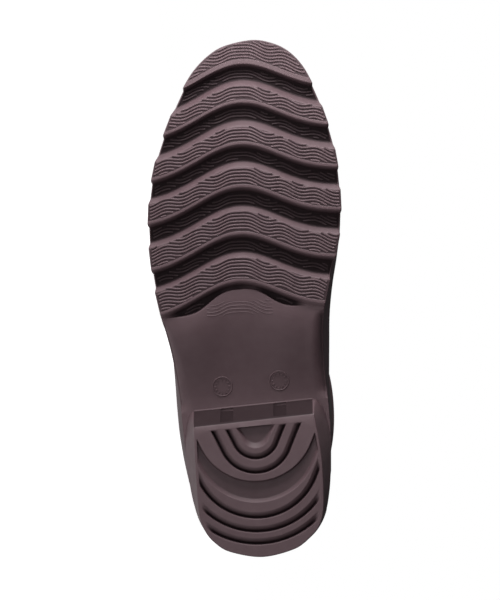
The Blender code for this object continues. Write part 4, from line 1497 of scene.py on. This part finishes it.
COLLAR_BAND_EASE = 1.1
RIM_ROOM = 1.7
CreaseRow = namedtuple("CreaseRow", "height middle span bow width depth")
CREASES = table(
    CreaseRow,
    (
        (103, 6, 74, 10, 6.5, 1.5),
        (86, -5, 56, 8, 5.5, 1.0),
        (123, 2, 52, -7, 7.0, 0.8),
        (82, 178, 44, 7, 6.0, 0.9),
        (98, 96, 26, 6, 6.0, 0.6),
        (96, 265, 28, 6, 6.0, 0.7),
    ),
)
CREASE_RIDGE = 0.45
CREASE_RIDGE_AWAY = 1.9
NORMAL_STEPS = range(-3, 4)
FEATHER = SOLE.inset(UPPER_STEP)
UPPER_TURN = np.linspace(0, 2 * np.pi, 168, endpoint=False)
COLLAR_TOP = UPPER_SECTIONS[-1].height - RIM_ROOM
WALL_HEIGHTS = np.linspace(0, 220, 89)
COLLAR_HEIGHTS = np.linspace(221, COLLAR_TOP, 40)
UPPER_HEIGHTS = np.concatenate((WALL_HEIGHTS, COLLAR_HEIGHTS))


def section_value(height, column):
    """A column of the table of upper sections, read at a height along a smooth curve."""
    places = [(row.height, getattr(row, column)) for row in UPPER_SECTIONS]
    curve = spline(places)
    return np.interp(height, curve[:, 0], curve[:, 1])


def swell(row, x, level):
    """How far the side of the foot swells past the sole."""
    return row.size * smooth(level / SWELL_HEIGHT) * np.exp(-(((x - row.x) / row.reach) ** 2))


def upper_ring(height):
    """Points round the outside of the upper at a height above the sole."""
    level = max(height, UPRIGHT_STRIP)
    back, front, nose, lateral, medial = (
        section_value(level, name) for name in ("back", "front", "nose", "lateral", "medial")
    )
    half = (front - back) / 2
    along = np.cos(UPPER_TURN)
    x = (back + front) / 2 + half * along
    low = 1 - smooth((level - TOE_CAP_LOW) / (TOE_CAP_HIGH - TOE_CAP_LOW))
    rounding = np.sqrt(1 - (1 - np.clip((front - x) / nose, 0, 1)) ** 2) ** (1 - low)
    shaft = (1 - np.abs(along) ** SHAFT_ROUNDNESS) ** (1 / SHAFT_ROUNDNESS)
    blend = smooth((height - SHAFT_BLEND_START) / (SHAFT_BLEND_END - SHAFT_BLEND_START))
    toe = FEATHER.points[0, 0]
    slid = (toe - front) * low * smooth((x - TOE_CAP_X) / (toe - TOE_CAP_X))
    on_foot = FEATHER.back + np.clip(x - back, 0, None) + slid
    foot_medial = FEATHER.medial(on_foot) + swell(MEDIAL_SWELL, x, level)
    foot_lateral = FEATHER.lateral(on_foot) + swell(LATERAL_SWELL, x, level)
    middle = (1 - blend) * (foot_medial - foot_lateral) / 2 + blend * (medial - lateral) / 2
    foot_half = (foot_medial + foot_lateral) / 2 * rounding
    half_width = (1 - blend) * foot_half + blend * (medial + lateral) / 2 * shaft
    y = middle + np.where(UPPER_TURN < np.pi, half_width, -half_width)
    settle = 1 - smooth(height / LEVEL_HEIGHT)
    z = height + LEVEL_BASE + (sole_top(x) + FIT_GAP - LEVEL_BASE) * settle
    return np.stack((x, y, z), axis=1)


def surface_normals(rings):
    """Outward normals of a grid of rings, averaged over neighbours so that the toe tip has one too."""
    around = np.roll(rings, -1, axis=1) - np.roll(rings, 1, axis=1)
    upward = np.gradient(rings, axis=0)
    areas = np.cross(around, upward)
    normals = sum(np.roll(areas, step, axis=1) for step in NORMAL_STEPS)
    return normals / np.linalg.norm(normals, axis=2)[..., None]


def crease_relief():
    """How far the creases push each point of the upper in or out."""
    degrees = np.degrees(UPPER_TURN)[None]
    heights = UPPER_HEIGHTS[:, None]
    relief = np.zeros((len(UPPER_HEIGHTS), len(UPPER_TURN)))
    for row in CREASES:
        aside = ((degrees - row.middle + 180) % 360 - 180) / row.span
        away = (heights - row.height - row.bow * aside**2) / row.width
        ridges = sum(np.exp(-((away - side * CREASE_RIDGE_AWAY) ** 2)) for side in (-1, 1))
        relief += row.depth * smooth(1 - np.abs(aside)) * (CREASE_RIDGE * ridges - np.exp(-(away**2)))
    return relief


def upper_wall():
    """Rings of the outside of the upper with its creases, still without its collar band."""
    rings = np.array([upper_ring(height) for height in UPPER_HEIGHTS])
    return rings + surface_normals(rings) * crease_relief()[..., None]


UPPER_WALL = upper_wall()
UPPER_NORMALS = surface_normals(UPPER_WALL)
collar_band = COLLAR_BAND_PROUD * smooth((UPPER_HEIGHTS - COLLAR_BAND_START) / COLLAR_BAND_EASE)
UPPER_SURFACE = UPPER_WALL + collar_band[:, None, None] * UPPER_NORMALS
print("upper reaches", round(UPPER_SURFACE[..., 2].max(), 1), "mm above the tread, below its rim")

# %% Upper mesh
RIM_ANGLES = np.radians((30, 60, 90, 120, 150))


def shell(name, outer, inner, material):
    """A wall between two sets of rings, with a rounded upper rim."""
    middle = (outer[-1] + inner[-1]) / 2
    reach = outer[-1] - middle
    half = np.linalg.norm(reach, axis=1)[:, None]
    rim = [middle + np.cos(angle) * reach + np.sin(angle) * half * (0, 0, 1) for angle in RIM_ANGLES]
    rings = np.concatenate((outer, rim, inner[::-1]))
    numbers = grid_places(rings.shape)
    pairs = zip(numbers, np.roll(numbers, -1, axis=0))
    faces = np.vstack([ring_faces(first, second) for first, second in pairs])
    return add_mesh(name, rings.reshape(-1, 3), faces, material)


upper = shell("rubber_upper", UPPER_SURFACE, UPPER_WALL - WALL * UPPER_NORMALS, "upper_rubber")
hand_over(upper, "upper_rubber", "upper")

# %% [markdown]
# ## Lining and insole
# Inside, a thin textile lining is bonded to the rubber and stops a little below the collar, and a loose
# insole lies on the sole. Both have a UV map in metres, so that the weave keeps its scale and follows the
# surface.

# %% Lining
LINING_GAP = 0.12
LINING_THICKNESS = 0.55
LINING_SPAN = (5, 222)
LINING_SKIP = 2
SHAFT_MIDDLE_X = 66
SHAFT_RADIUS = 48


def add_uv(piece, measure):
    """Give a piece a UV map in metres, from a function of its points on the floor."""
    points = np.array([vert.co for vert in piece.data.vertices])
    places = measure(points)
    corners = np.array([loop.vertex_index for loop in piece.data.loops])
    weave = piece.data.uv_layers.new(name="weave")
    weave.data.foreach_set("uv", places[corners].astype(np.float32).ravel())


def round_shaft(points):
    """Places in metres round the middle of the shaft and along it."""
    x, y, z = unlay(points).T
    return np.stack((SHAFT_RADIUS * np.abs(np.arctan2(y, x - SHAFT_MIDDLE_X)), z), axis=1) * MM


def make_lining():
    """The textile lining of foot and shaft."""
    low, high = LINING_SPAN
    kept = np.flatnonzero((UPPER_HEIGHTS >= low) & (UPPER_HEIGHTS <= high))[::LINING_SKIP]
    surface, normals = UPPER_WALL[kept], UPPER_NORMALS[kept]
    outer = surface - (WALL + LINING_GAP) * normals
    inner = surface - (WALL + LINING_GAP + LINING_THICKNESS) * normals
    lining = shell("textile_lining", outer, inner, "lining_cloth")
    add_uv(lining, round_shaft)
    return lining


lining = make_lining()
hand_over(lining, "insole_foam")

# %% Insole
INSOLE_CLEARANCE = 1.6
INSOLE_THICKNESS = 3.5
INSOLE_SPAN = (26, 234)
INSOLE_ROWS = 60
INSOLE_COLUMNS = np.linspace(0, 1, 41)
INSOLE_ROUND = 0.9


def make_insole():
    """The loose insole with its rounded edge."""
    outline = FEATHER.inset(WALL + INSOLE_CLEARANCE)
    inner = outline.inset(INSOLE_ROUND)
    stations = np.linspace(*INSOLE_SPAN, INSOLE_ROWS)
    crossings = [row_across(inner, straight_line(x), INSOLE_COLUMNS) for x in stations]
    plan = with_ends(inner, crossings, INSOLE_COLUMNS, SOLE_END_ROWS)
    base = sole_top(plan[..., 0]) + FIT_GAP
    bottom, top = with_height(plan, base), with_height(plan, base + INSOLE_THICKNESS)
    border, crown = border_points(bottom), border_points(top)
    out, _ = outline.beside(border[:, :2])
    loops = []
    for edge, turn in ((border, -1), (crown, 1)):
        for angle in ROUND_ANGLES[::-turn]:
            reach = INSOLE_ROUND * np.sin(angle)
            fall = INSOLE_ROUND * (1 - np.cos(angle))
            loops.append(with_height(edge[:, :2] + out * reach, edge[:, 2] - turn * fall))
    return closed_body("cloth_insole", bottom, loops, top, "insole_cloth")


insole = make_insole()
add_uv(insole, lambda points: points[:, [0, 2]])
hand_over(insole, "insole_foam", "insole")

# %% [markdown]
# ## Sizes
# The dressed boot has to keep the size of its solids, so both boxes are printed.

# %% Finish
boxes = {"cad": solid_box, "visual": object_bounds()}
{name: [list(corner) for corner in box] for name, box in boxes.items()}
print({name: [tuple(round(value, 4) for value in corner) for corner in box] for name, box in boxes.items()})
